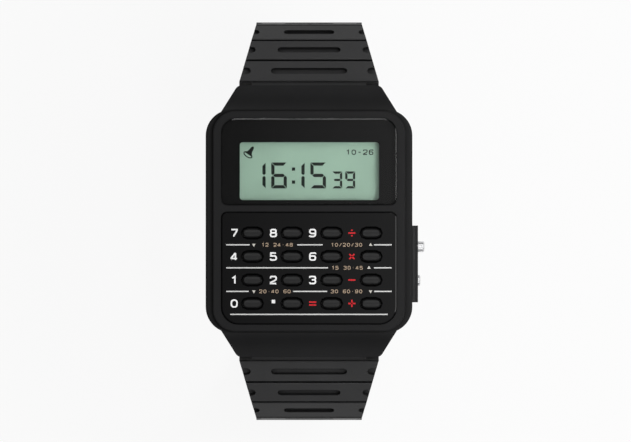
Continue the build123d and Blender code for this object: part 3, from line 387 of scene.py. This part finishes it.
# Date mark: plain numbers at the display's upper right, in wide figures with square curves.
# Every figure is a stroke or two along its middle line, with places in shares of its width and height.
figure_strokes = {
    "0": ((True, ((0, 0, 0.5), (1, 0, 0.5), (1, 1, 0.5), (0, 1, 0.5))),),
    "1": ((False, ((0.2, 0.76, 0), (0.62, 1, 0), (0.62, 0, 0))),),
    "2": ((False, ((0, 0.74, 0), (0, 1, 0.4), (1, 1, 0.5), (1, 0.52, 0.35), (0, 0.14, 0.2), (0, 0, 0),
                   (1, 0, 0))),),
    "3": ((False, ((0, 0.82, 0), (0, 1, 0.3), (1, 1, 0.5), (1, 0.53, 0.3), (0.35, 0.53, 0))),
          (False, ((0.35, 0.53, 0), (1, 0.53, 0.3), (1, 0, 0.5), (0, 0, 0.3), (0, 0.2, 0)))),
    "4": ((False, ((0.7, 1, 0), (0, 0.3, 0), (0, 0.22, 0), (1, 0.22, 0))),
          (False, ((0.72, 0, 0), (0.72, 1, 0)))),
    "5": ((False, ((0.94, 1, 0), (0.06, 1, 0), (0.04, 0.58, 0), (1, 0.58, 0.45), (1, 0, 0.5),
                   (0, 0, 0.35), (0, 0.2, 0))),),
    "6": ((True, ((0, 0.57, 0.3), (1, 0.57, 0.45), (1, 0, 0.5), (0, 0, 0.5))),
          (False, ((0, 0.3, 0), (0, 1, 0.5), (1, 1, 0.3), (1, 0.84, 0)))),
    "7": ((False, ((0, 1, 0), (1, 1, 0), (1, 0.84, 0.1), (0.36, 0, 0))),),
    "8": ((True, ((0, 0, 0.45), (1, 0, 0.45), (1, 0.53, 0.3), (0, 0.53, 0.3))),
          (True, ((0.05, 0.53, 0.3), (0.95, 0.53, 0.3), (0.95, 1, 0.45), (0.05, 1, 0.45)))),
    "9": ((True, ((1, 0.43, 0.3), (0, 0.43, 0.45), (0, 1, 0.5), (1, 1, 0.5))),
          (False, ((1, 0.7, 0), (1, 0, 0.5), (0, 0, 0.3), (0, 0.16, 0)))),
    "-": ((False, ((0.2, 0.5, 0), (0.8, 0.5, 0))),),
    ".": ((False, ((0.42, 0.5, 0), (0.58, 0.5, 0))),),
    "/": ((False, ((0.15, 0, 0), (0.85, 1, 0))),),
    " ": (),
}
curve_steps = 4
touching = 0.001 * mm
stroke_lift = 0.002 * mm
figure_wide_share = 0.84
figure_step_share = 1.28


def round_line(corners, closed):
    """Replace each corner by a short curve, as long as its radius or half of its shorter side."""
    line = []
    count = len(corners)
    for index, (corner, radius) in enumerate(corners):
        if radius == 0 or (not closed and index in (0, count - 1)):
            line.append(corner)
            continue
        before = corners[index - 1][0] - corner
        after = corners[(index + 1) % count][0] - corner
        cut = min(radius, before.length / 2, after.length / 2)
        start = corner + before.normalized() * cut
        end = corner + after.normalized() * cut
        for step in range(curve_steps + 1):
            share = step / curve_steps
            line.append(start.lerp(corner, share).lerp(corner.lerp(end, share), share))
    return [point for index, point in enumerate(line)
            if (index == 0 and not closed) or (point - line[index - 1]).length > touching]


def add_figures(mesh, text, middle, height, stroke, level):
    """Add printed figures about a middle point."""
    width = figure_wide_share * height
    step = figure_step_share * width
    reach = Vector((width - stroke, height - stroke))
    first = middle - Vector((step * (len(text) - 1), 0)) / 2 - reach / 2
    for index, figure in enumerate(text):
        corner = first + Vector((step * index, 0))
        for order, (closed, shares) in enumerate(figure_strokes[figure]):
            corners = [(corner + Vector((x * reach.x, y * reach.y)), radius * reach.x)
                       for x, y, radius in shares]
            add_stroke(mesh, round_line(corners, closed), closed, stroke, level + order * stroke_lift)


date = bmesh.new()
date_middle = Vector((8.1, 11.05)) * mm
date_height = 0.86 * mm
date_stroke = 0.15 * mm
add_figures(date, "10-26", date_middle, date_height, date_stroke, mark_level)
add_print("date_figures", date, mark_thickness, display_ink)

# Keypad plate: black resin sheet, a little glossier than the case, pierced for the keys.
# The legends are printed on it.
plate_resin = make_finish(
    "keypad plate resin",
    moulded,
    {"Tone": (0.0045, 0.0045, 0.0047), "Drift": 0.05, "Roughness": 0.07, "Grain Size": 0.12 * mm,
     "Grain Height": 0.00005 * mm},
    gloss=0.5,
)
dress(plate_resin, "keypad_plate")

# Figures of the keys: one white figure left of each number key, and a square point for the decimal key.
# They are thick, slightly raised screen ink.
ink_thickness = 0.02 * mm
ink_bite = 0.004 * mm
plate_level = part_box("keypad_plate")[1].z - ink_bite
legend_first = -11.97 * mm
legend_pitch = 6.277 * mm
legend_columns = 4
legend_x = [legend_first + column * legend_pitch for column in range(legend_columns)]
key_rows = (("key_7", "key_8", "key_9", "key_divide"), ("key_4", "key_5", "key_6", "key_times"),
            ("key_1", "key_2", "key_3", "key_minus"), ("key_0", "key_point", "key_equals", "key_plus"))
key_figure_height = 1.36 * mm
key_figure_stroke = 0.25 * mm


def key_height(name):
    """How far up the keypad a key's middle is."""
    low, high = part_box(name)
    return (low.y + high.y) / 2


def add_bar(mesh, x, y, width, height, level):
    """Add a printed rectangle about its middle."""
    corners = ((-0.5, -0.5), (0.5, -0.5), (0.5, 0.5), (-0.5, 0.5))
    add_flat(mesh, [(x + i * width, y + j * height) for i, j in corners], level)


def make_ink(name, tone):
    """Screen ink: slightly uneven, with a soft sheen."""
    return make_finish(
        name,
        moulded,
        {"Tone": tone, "Drift": 0.05, "Roughness": 0.5, "Grain Size": 0.06 * mm,
         "Grain Height": 0.002 * mm},
        gloss=0.3,
    )


white_ink = make_ink("white ink", (0.86, 0.86, 0.86))
figures = bmesh.new()
for names in key_rows:
    for x, name in zip(legend_x, names):
        if name[-1].isdigit():
            add_figures(figures, name[-1], Vector((x, key_height(name))), key_figure_height,
                        key_figure_stroke, plate_level)
point_size = 0.55 * mm
point_lift = 0.32 * mm
add_bar(figures, legend_x[1], key_height("key_point") + point_lift, point_size, point_size, plate_level)
add_print("key_figures", figures, ink_thickness, white_ink)

# Signs of the four reckoning keys and the equals key, in red ink.
# They are drawn as bars and dots of one stroke.
red_ink = make_ink("red ink", (0.6, 0.008, 0.015))
signs = bmesh.new()
sign_width = 1.15 * mm
sign_stroke = 0.23 * mm
for name, x, bars in (
    ("key_divide", legend_x[3], ((0, 1, 0), (0.38, 0, 0), (-0.38, 0, 0))),
    ("key_times", legend_x[3], ((0, 1, 45), (0, 1, -45))),
    ("key_minus", legend_x[3], ((0, 1, 0),)),
    ("key_equals", legend_x[2], ((0.2, 1, 0), (-0.2, 1, 0))),
    ("key_plus", legend_x[3], ((0, 1, 0), (0, 1, 90))),
):
    for up, length_share, turn in bars:
        middle = Vector((x, key_height(name) + up * sign_width))
        half = Vector((max(length_share * sign_width, sign_stroke) / 2, 0))
        half.rotate(Matrix.Rotation(radians(turn), 2))
        add_stroke(signs, (middle - half, middle + half), False, sign_stroke, plate_level)
add_print("key_signs", signs, ink_thickness, red_ink)

# Rules between the rows of keys, broken where a small label stands, in pale grey ink.
# The lowest one runs right across.
rule_ink = make_ink("rule ink", (0.62, 0.62, 0.61))
rules = bmesh.new()
rule_width = 0.19 * mm
rule_rows_mm = (-3.78, -7.46, -11.23, -14.91)
rule_left_mm = -13.25
rule_last_mm = (10.4, 13.23)
rule_spans_mm = (
    ((rule_left_mm, -9.49), (-1.89, 2.19), rule_last_mm),
    ((rule_left_mm, 3.04), rule_last_mm),
    ((rule_left_mm, -9.66), (-2.53, 2.91), rule_last_mm),
    ((-12.6, 12.6),),
)
for y, spans in zip(rule_rows_mm, rule_spans_mm):
    for start, end in spans:
        add_bar(rules, (start + end) / 2 * mm, y * mm, (end - start) * mm, rule_width, plate_level)
add_print("keypad_rules", rules, ink_thickness, rule_ink)

# Small labels in the gaps of the rules, as plain numbers in tan ink, each with a pointer beside it.
# The pointer tells which row of keys the label belongs to.
label_ink = make_ink("label ink", (0.36, 0.27, 0.19))
pointer_ink = make_ink("pointer ink", (0.55, 0.53, 0.48))
labels = bmesh.new()
pointers = bmesh.new()
label_height = 0.6 * mm
label_stroke = 0.11 * mm
pointer_radius = 0.32 * mm
point_up = 0
point_down = 180
for words, x, row, pointer_x, turn in (
    ("12 24.48", -5.1, 0, -8.83, point_down),
    ("10/20/30", 6.0, 0, 9.85, point_up),
    ("15 30.45", 6.1, 1, 9.6, point_up),
    ("20.40 60", -5.45, 2, -8.83, point_down),
    ("30 60.90", 6.0, 2, 9.85, point_down),
):
    y = rule_rows_mm[row]
    add_figures(labels, words, Vector((x, y)) * mm, label_height, label_stroke, plate_level)
    triangle = bmesh.ops.create_circle(pointers, cap_ends=True, segments=3, radius=pointer_radius)
    pointer = triangle["verts"]
    pointer_turn = Matrix.Rotation(radians(turn), 3, "Z")
    bmesh.ops.rotate(pointers, verts=pointer, cent=(0, 0, 0), matrix=pointer_turn)
    bmesh.ops.translate(pointers, verts=pointer, vec=(pointer_x * mm, y * mm, plate_level))
add_print("label_figures", labels, ink_thickness, label_ink)
add_print("label_pointers", pointers, ink_thickness, pointer_ink)

# Keys: sixteen small caps of grey-black resin, softer in sheen than the plate.
# A bump stands in for the soft crown of a cap, whose solid is flat with broken edges.
key_resin = make_finish(
    "key resin",
    moulded,
    {"Tone": (0.005, 0.005, 0.0052), "Drift": 0.05, "Roughness": 0.34, "Grain Size": 0.1 * mm,
     "Grain Height": 0.003 * mm},
    gloss=0.4,
)
key_pitch = key_height("key_7") - key_height("key_4")
crown_radius = 1.5 * mm
crown_offset = -0.3 * mm
key_tree = key_resin.node_tree
key_place = key_tree.nodes.new("ShaderNodeTexCoord")
key_parts = key_tree.nodes.new("ShaderNodeSeparateXYZ")
key_row = key_tree.nodes.new("ShaderNodeMath")
key_row.operation = "WRAP"
key_row.inputs[1].default_value = key_height("key_7") + key_pitch / 2
key_row.inputs[2].default_value = key_height("key_7") - key_pitch / 2
key_middle = key_tree.nodes.new("ShaderNodeMath")
key_middle.operation = "SUBTRACT"
key_middle.inputs[1].default_value = key_height("key_7") + crown_offset
key_square = key_tree.nodes.new("ShaderNodeMath")
key_square.operation = "MULTIPLY"
key_drop = key_tree.nodes.new("ShaderNodeMath")
key_drop.operation = "MULTIPLY"
key_drop.inputs[1].default_value = -0.5 / crown_radius
key_crown = key_tree.nodes.new("ShaderNodeBump")
key_crown.inputs["Distance"].default_value = 1
key_texture = key_tree.nodes["Group"]
for start, end in (
    (key_place.outputs["Object"], key_parts.inputs["Vector"]),
    (key_parts.outputs["Y"], key_row.inputs[0]),
    (key_row.outputs[0], key_middle.inputs[0]),
    (key_middle.outputs[0], key_square.inputs[0]),
    (key_middle.outputs[0], key_square.inputs[1]),
    (key_square.outputs[0], key_drop.inputs[0]),
    (key_drop.outputs[0], key_crown.inputs["Height"]),
    (key_texture.outputs["Normal"], key_crown.inputs["Normal"]),
    (key_crown.outputs["Normal"], key_tree.nodes["Principled BSDF"].inputs["Normal"]),
):
    key_tree.links.new(start, end)
for names in key_rows:
    dress(key_resin, *names)


# Key rubber: one moulded sheet on the board, with a dome under each key.
# A dome is a skirt that leans in to a flat boss.
dome_size = (3.0 * mm, 2.2 * mm)
dome_profile_shares = ((0, 0), (0.1, 0.16), (0.5, 0.62), (0.84, 0.93), (0.95, 0.98), (1, 1.06))
dome_lean = 0.545 * mm
dome_corner = 0.3 * mm
dome_corner_steps = 4


def soft_rectangle(width, height, corner, level):
    """The points of a rectangle with round corners, once round at one level."""
    points = []
    for quarter, (across, up) in enumerate(((1, 1), (-1, 1), (-1, -1), (1, -1))):
        for step in range(dome_corner_steps + 1):
            angle = radians(90 * (quarter + step / dome_corner_steps))
            points.append(Vector((across * (width / 2 - corner) + corner * cos(angle),
                                  up * (height / 2 - corner) + corner * sin(angle), level)))
    return points


def add_dome(key, bottom, top):
    """One dome under a key, from the sheet's face up to the given top."""
    low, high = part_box(key)
    middle = Vector(((low.x + high.x) / 2, (low.y + high.y) / 2, 0))
    mesh = bmesh.new()
    rings = []
    for rise, lean in dome_profile_shares:
        inset = 2 * lean * dome_lean
        outline = soft_rectangle(dome_size[0] - inset, dome_size[1] - inset, dome_corner,
                                 bottom + rise * (top - bottom))
        rings.append([mesh.verts.new(middle + point) for point in outline])
    for ring, following in zip(rings, rings[1:]):
        for step, here in enumerate(ring):
            beside = (step + 1) % len(ring)
            mesh.faces.new((here, ring[beside], following[beside], following[step])).smooth = True
    mesh.faces.new(rings[0])
    mesh.faces.new(rings[-1])
    dome = add_piece(f"{key}_dome", mesh, key_rubber, "watch_case")
    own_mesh(dome)
    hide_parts("key_sheet")


key_rubber = make_finish(
    "key rubber",
    moulded,
    {"Tone": (0.05, 0.05, 0.052), "Drift": 0.08, "Roughness": 0.7, "Grain Size": 0.09 * mm,
     "Grain Height": 0.004 * mm},
    gloss=0.3,
)
sheet_low, sheet_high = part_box("key_sheet")
sheet_thickness = 0.45 * mm
sheet_level = sheet_low.z + sheet_thickness
sheet_corner = 2.2 * mm
sheet = bmesh.new()
sheet_outline = [(sheet_low.x, sheet_high.y), (sheet_low.x, sheet_low.y + sheet_corner),
                 (sheet_low.x + sheet_corner, sheet_low.y), (sheet_high.x - sheet_corner, sheet_low.y),
                 (sheet_high.x, sheet_low.y + sheet_corner), (sheet_high.x, sheet_high.y)]
add_flat(sheet, sheet_outline, sheet_low.z)
rubber_sheet = add_print("rubber_sheet", sheet, sheet_level - sheet_low.z, key_rubber)
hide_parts("key_sheet")
for names in key_rows:
    for key in names:
        add_dome(key, sheet_level, sheet_high.z)

# Module: a cream moulded frame and display holder, pink-grey contact strips and a green board.
# The board carries a black chip and tan capacitors.
module_plastic = make_finish(
    "module plastic",
    moulded,
    {"Tone": (0.6, 0.58, 0.52), "Drift": 0.05, "Roughness": 0.45, "Grain Size": 0.2 * mm,
     "Grain Height": 0.004 * mm},
)
strip_rubber = make_finish(
    "contact strip rubber",
    moulded,
    {"Tone": (0.42, 0.34, 0.33), "Drift": 0.1, "Roughness": 0.6, "Grain Size": 0.1 * mm,
     "Grain Height": 0.005 * mm},
)
board_lacquer = make_finish(
    "board lacquer",
    moulded,
    {"Tone": (0.02, 0.12, 0.045), "Drift": 0.12, "Roughness": 0.3, "Grain Size": 0.3 * mm,
     "Grain Height": 0.006 * mm},
)
chip_resin = make_finish(
    "chip resin",
    moulded,
    {"Tone": (0.015, 0.015, 0.015), "Drift": 0.06, "Roughness": 0.55, "Grain Size": 0.06 * mm,
     "Grain Height": 0.003 * mm},
)
capacitor_ceramic = make_finish(
    "capacitor ceramic",
    moulded,
    {"Tone": (0.5, 0.38, 0.25), "Drift": 0.08, "Roughness": 0.5, "Grain Size": 0.06 * mm,
     "Grain Height": 0.002 * mm},
)
gasket_rubber = make_finish(
    "gasket rubber",
    moulded,
    {"Tone": (0.014, 0.014, 0.014), "Drift": 0.06, "Roughness": 0.6, "Grain Size": 0.08 * mm,
     "Grain Height": 0.003 * mm},
)
dress(module_plastic, "module_frame", "lcd_holder")
dress(strip_rubber, "contact_strips")
dress(board_lacquer, "main_board")
dress(chip_resin, "controller_chip")
dress(capacitor_ceramic, "chip_capacitors")
dress(gasket_rubber, "back_gasket", "pusher_seals")


# Back cover, buckle and pushers: stainless steel drawn over a belt, so that fine lines run one way.
# Springs and small contacts are plain bright wire and strip.
def make_drawn_surface():
    """Fine lines along X that vary the sheen and stand up under a micron."""
    group = bpy.data.node_groups.new("drawn metal", "ShaderNodeTree")
    add_sockets(
        group,
        (("Tone", "color"), ("Roughness", "value"), ("Line Height", "value")),
        (("Color", "color"), ("Roughness", "value"), ("Normal", "vector")),
    )
    nodes = group.nodes
    given = nodes.new("NodeGroupInput")
    result = nodes.new("NodeGroupOutput")
    place = nodes.new("ShaderNodeTexCoord")
    stretch = nodes.new("ShaderNodeMapping")
    stretch.inputs["Scale"].default_value = (0.03, 1, 1)
    lines = nodes.new("ShaderNodeTexNoise")
    lines.inputs["Scale"].default_value = 9000
    lines.inputs["Detail"].default_value = 4
    stain = nodes.new("ShaderNodeTexNoise")
    stain.inputs["Scale"].default_value = 240
    tone_range = nodes.new("ShaderNodeMapRange")
    tone_range.inputs["To Min"].default_value = 0.88
    tone_range.inputs["To Max"].default_value = 1.08
    shade = nodes.new("ShaderNodeHueSaturation")
    sheen = nodes.new("ShaderNodeMapRange")
    rougher = nodes.new("ShaderNodeMath")
    rougher.operation = "MULTIPLY"
    rougher.inputs[1].default_value = 1.5
    relief = nodes.new("ShaderNodeBump")
    for start, end in (
        (place.outputs["Object"], stretch.inputs["Vector"]),
        (place.outputs["Object"], stain.inputs["Vector"]),
        (stretch.outputs["Vector"], lines.inputs["Vector"]),
        (stain.outputs["Fac"], tone_range.inputs["Value"]),
        (given.outputs["Tone"], shade.inputs["Color"]),
        (tone_range.outputs["Result"], shade.inputs["Value"]),
        (lines.outputs["Fac"], sheen.inputs["Value"]),
        (given.outputs["Roughness"], sheen.inputs["To Min"]),
        (given.outputs["Roughness"], rougher.inputs[0]),
        (rougher.outputs[0], sheen.inputs["To Max"]),
        (lines.outputs["Fac"], relief.inputs["Height"]),
        (given.outputs["Line Height"], relief.inputs["Distance"]),
        (shade.outputs["Color"], result.inputs["Color"]),
        (sheen.outputs["Result"], result.inputs["Roughness"]),
        (relief.outputs["Normal"], result.inputs["Normal"]),
    ):
        group.links.new(start, end)
    return group


drawn = make_drawn_surface()
cover_steel = make_finish(
    "drawn steel",
    drawn,
    {"Tone": (0.56, 0.56, 0.57), "Roughness": 0.24, "Line Height": 0.002 * mm},
    metal=1.0,
)
pusher_steel = make_finish(
    "polished steel",
    drawn,
    {"Tone": (0.86, 0.86, 0.87), "Roughness": 0.3, "Line Height": 0.0005 * mm},
    metal=1.0,
)
spring_steel = make_finish(
    "spring steel",
    drawn,
    {"Tone": (0.5, 0.5, 0.52), "Roughness": 0.22, "Line Height": 0.001 * mm},
    metal=1.0,
)
contact_brass = make_finish(
    "contact brass",
    drawn,
    {"Tone": (0.72, 0.52, 0.22), "Roughness": 0.25, "Line Height": 0.001 * mm},
    metal=1.0,
)
dress(cover_steel, "back_cover", "back_screws", "coin_cell", "cell_clamp", "timing_crystal",
      "buckle_frame", "buckle_bar", "buckle_tongue", "upper_bar_tube", "lower_bar_tube",
      "upper_bar_tip_right", "upper_bar_tip_left", "lower_bar_tip_right", "lower_bar_tip_left")
dress(pusher_steel, "mode_pusher", "adjust_pusher")
dress(spring_steel, "mode_clip", "adjust_clip", "cell_contact", "buzzer_contact")
dress(contact_brass, "switch_contacts", "buzzer_disc")


# Coil springs: round steel wire, four loose turns behind each pusher, a close coil in each spring bar.
# The halves of a bar's coil meet at its middle.
coil_steps = 12
wire_steps = 6


def add_coil(name, node, middle, fixed, free, radius, wire, turns):
    """Wind a wire along X from its fixed end to its free end."""
    rise = (free - fixed) / turns
    half_wire = wire / 2
    start = fixed + (half_wire if rise > 0 else -half_wire)
    run = free - fixed - 2 * (start - fixed)
    steps = turns * coil_steps
    mesh = bmesh.new()
    rings = []
    for step in range(steps + 1):
        angle = 2 * pi * step / coil_steps
        outward = Vector((0, cos(angle), sin(angle)))
        centre = Vector((start + run * step / steps, middle.y, middle.z)) + radius * outward
        ring = []
        for side in range(wire_steps):
            turn = 2 * pi * side / wire_steps
            offset = half_wire * (cos(turn) * outward + sin(turn) * Vector((1, 0, 0)))
            ring.append(mesh.verts.new(centre + offset))
        rings.append(ring)
    for ring, following in zip(rings, rings[1:]):
        for side in range(wire_steps):
            beside = (side + 1) % wire_steps
            face = mesh.faces.new((ring[side], ring[beside], following[beside], following[side]))
            face.smooth = True
    mesh.faces.new(rings[0])
    mesh.faces.new(rings[-1])
    coil = add_piece(name, mesh, spring_steel, "watch_case")
    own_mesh(coil)
    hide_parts(node)


pusher_wire = 0.18 * mm
pusher_turns = 4
for button in ("mode", "adjust"):
    low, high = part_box(f"{button}_spring")
    add_coil(f"{button}_coil", f"{button}_spring", (low + high) / 2, low.x, high.x,
             (high.z - low.z - pusher_wire) / 2, pusher_wire, pusher_turns)
bar_wire = 0.16 * mm
bar_turns = 20
springs_low, springs_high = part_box("bar_springs")
bar_coil_radius = (springs_high.z - springs_low.z - bar_wire) / 2
for bar in ("upper", "lower"):
    tube_low, tube_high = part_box(f"{bar}_bar_tube")
    bar_middle = (tube_low + tube_high) / 2
    for side, reach in (("right", springs_high.x), ("left", springs_low.x)):
        add_coil(f"{bar}_coil_{side}", "bar_springs", bar_middle,
                 0, reach, bar_coil_radius, bar_wire, bar_turns)


# Strap halves and keeper: softer resin than the case, greyer and duller from its coarser mould.
# The links, slots and notches are moulded in, and painted shade darkens the slots, notches and grooves.
strap_resin = make_finish(
    "strap resin",
    moulded,
    {"Tone": (0.035, 0.035, 0.0358), "Drift": 0.07, "Roughness": 0.5, "Grain Size": 0.2 * mm,
     "Grain Height": 0.006 * mm, "Painted Shade Reach": 1.3 * mm, "Painted Shade Strength": 0.85},
    gloss=0.3,
)
dress(strap_resin, "upper_strap", "lower_strap", "strap_keeper")

# Studio: a pale floor under the flat run of the long strap half, bright to the lens and to reflections.
# It still takes the watch's soft shadow.
floor_size = 1.6
floor_mesh = bmesh.new()
bmesh.ops.create_grid(floor_mesh, x_segments=4, y_segments=4, size=floor_size / 2)
bmesh.ops.translate(floor_mesh, verts=floor_mesh.verts, vec=(0, 0, cad_box[0].z))
floor_data = bpy.data.meshes.new("floor")
floor_mesh.to_mesh(floor_data)
floor_mesh.free()
floor = bpy.data.objects.new("floor", floor_data)
bpy.context.scene.collection.objects.link(floor)


def brightest(tree, first, second):
    """The greater of two values."""
    greater = tree.nodes.new("ShaderNodeMath")
    greater.operation = "MAXIMUM"
    tree.links.new(first, greater.inputs[0])
    tree.links.new(second, greater.inputs[1])
    return greater.outputs[0]


def scaled(tree, value, share):
    """A share of a value."""
    product = tree.nodes.new("ShaderNodeMath")
    product.operation = "MULTIPLY"
    product.inputs[1].default_value = share
    tree.links.new(value, product.inputs[0])
    return product.outputs[0]


paper = bpy.data.materials.new("pale paper")
paper.use_nodes = True
paper_tree = paper.node_tree
paper_shader = paper_tree.nodes["Principled BSDF"]
paper_shader.inputs["Base Color"].default_value = (0.86, 0.86, 0.86, 1)
paper_shader.inputs["Roughness"].default_value = 0.9
paper_glow = paper_tree.nodes.new("ShaderNodeEmission")
paper_glow.inputs["Color"].default_value = (1, 1, 1, 1)
paper_path = paper_tree.nodes.new("ShaderNodeLightPath")
paper_straight = brightest(paper_tree, paper_path.outputs["Is Camera Ray"],
                           paper_path.outputs["Is Transmission Ray"])
paper_part = brightest(paper_tree, scaled(paper_tree, paper_straight, 0.89),
                       scaled(paper_tree, paper_path.outputs["Is Glossy Ray"], 0.6))
paper_mix = paper_tree.nodes.new("ShaderNodeMixShader")
paper_tree.links.new(paper_part, paper_mix.inputs["Fac"])
paper_tree.links.new(paper_shader.outputs["BSDF"], paper_mix.inputs[1])
paper_tree.links.new(paper_glow.outputs["Emission"], paper_mix.inputs[2])
paper_tree.links.new(paper_mix.outputs["Shader"], paper_tree.nodes["Material Output"].inputs["Surface"])
floor_data.materials.append(paper)

# Surround: a pale ceiling that fades to dark walls in reflections, and plain white to the lens.
# It lights the watch softly, at less strength than it shows.
world = bpy.data.worlds.new("studio")
bpy.context.scene.world = world
world.use_nodes = True
sky = world.node_tree
sky.nodes.clear()
sky_direction = sky.nodes.new("ShaderNodeTexCoord")
sky_parts = sky.nodes.new("ShaderNodeSeparateXYZ")
sky_fall = sky.nodes.new("ShaderNodeMapRange")
sky_fall.interpolation_type = "SMOOTHSTEP"
sky_fall.inputs["From Min"].default_value = 0
sky_fall.inputs["From Max"].default_value = 0.9
sky_fall.inputs["To Min"].default_value = 0.15
sky_fall.inputs["To Max"].default_value = 1
sky_side = sky.nodes.new("ShaderNodeMapRange")
sky_side.interpolation_type = "SMOOTHSTEP"
sky_side.inputs["From Min"].default_value = -0.022
sky_side.inputs["From Max"].default_value = 0.022
sky_side.inputs["To Min"].default_value = 0.05
sky_side.inputs["To Max"].default_value = 0.36
sky_ceiling = sky.nodes.new("ShaderNodeMath")
sky_ceiling.operation = "MULTIPLY"
sky_path = sky.nodes.new("ShaderNodeLightPath")
sky_shown = sky.nodes.new("ShaderNodeBackground")
sky_light = sky.nodes.new("ShaderNodeBackground")
sky_light.inputs["Color"].default_value = (1, 1, 1, 1)
sky_light.inputs["Strength"].default_value = 0.34
sky_mix = sky.nodes.new("ShaderNodeMixShader")
sky_out = sky.nodes.new("ShaderNodeOutputWorld")
sky_tone = brightest(sky, sky_ceiling.outputs[0], sky_path.outputs["Is Camera Ray"])
sky_straight = brightest(sky, sky_path.outputs["Is Camera Ray"], sky_path.outputs["Is Transmission Ray"])
sky_seen = brightest(sky, sky_straight, sky_path.outputs["Is Glossy Ray"])
for start, end in (
    (sky_direction.outputs["Generated"], sky_parts.inputs["Vector"]),
    (sky_parts.outputs["Z"], sky_fall.inputs["Value"]),
    (sky_parts.outputs["X"], sky_side.inputs["Value"]),
    (sky_fall.outputs["Result"], sky_ceiling.inputs[0]),
    (sky_side.outputs["Result"], sky_ceiling.inputs[1]),
    (sky_tone, sky_shown.inputs["Color"]),
    (sky_seen, sky_mix.inputs["Fac"]),
    (sky_light.outputs["Background"], sky_mix.inputs[1]),
    (sky_shown.outputs["Background"], sky_mix.inputs[2]),
    (sky_mix.outputs["Shader"], sky_out.inputs["Surface"]),
):
    sky.links.new(start, end)


# Lamps: a small softbox close on the right, so that the flat panels grow lighter toward it.
# Larger ones fill from all round, and low strips above and at the right draw the panels' edges.
def add_softbox(name, place, sides, power):
    """A soft lamp turned toward the middle of the watch."""
    data = bpy.data.lights.new(name, "AREA")
    data.shape = "RECTANGLE"
    data.size, data.size_y = sides
    data.energy = power
    lamp = bpy.data.objects.new(name, data)
    lamp.location = place
    lamp.rotation_euler = (-Vector(place)).to_track_quat("-Z", "Y").to_euler()
    bpy.context.scene.collection.objects.link(lamp)


for name, place, sides, power in (
    ("near softbox", (0.075, 0, 0.09), (0.05, 0.05), 0.065),
    ("overhead softbox", (0.2, 0.02, 0.5), (0.3, 0.3), 0.6),
    ("fill softbox", (-0.3, 0, 0.4), (0.26, 0.26), 0.15),
    ("upper softbox", (0.05, 0.3, 0.32), (0.2, 0.2), 0.18),
    ("lower softbox", (0.05, -0.3, 0.32), (0.2, 0.2), 0.2),
    ("upper strip", (0, 0.3, 0.01), (0.22, 0.026), 0.03),
    ("right strip", (0.3, 0, 0.01), (0.22, 0.026), 0.03),
):
    add_softbox(name, place, sides, power)

# Camera: straight over the dial from well back, as in the photograph.
# The watch stands a little left of the picture's middle.
camera_data = bpy.data.cameras.new("camera")
camera = bpy.data.objects.new("camera", camera_data)
bpy.context.scene.collection.objects.link(camera)
bpy.context.scene.camera = camera
camera_height = 1.2
camera_aside = (1.04 * mm, 0.03 * mm)
view_width = 100.96 * mm
camera_data.sensor_width = 36
camera_data.lens = camera_data.sensor_width * (camera_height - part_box("case_shell")[1].z) / view_width
camera_data.clip_end = 10
camera.location = (*camera_aside, camera_height)
bpy.context.scene.view_settings.view_transform = "Standard"
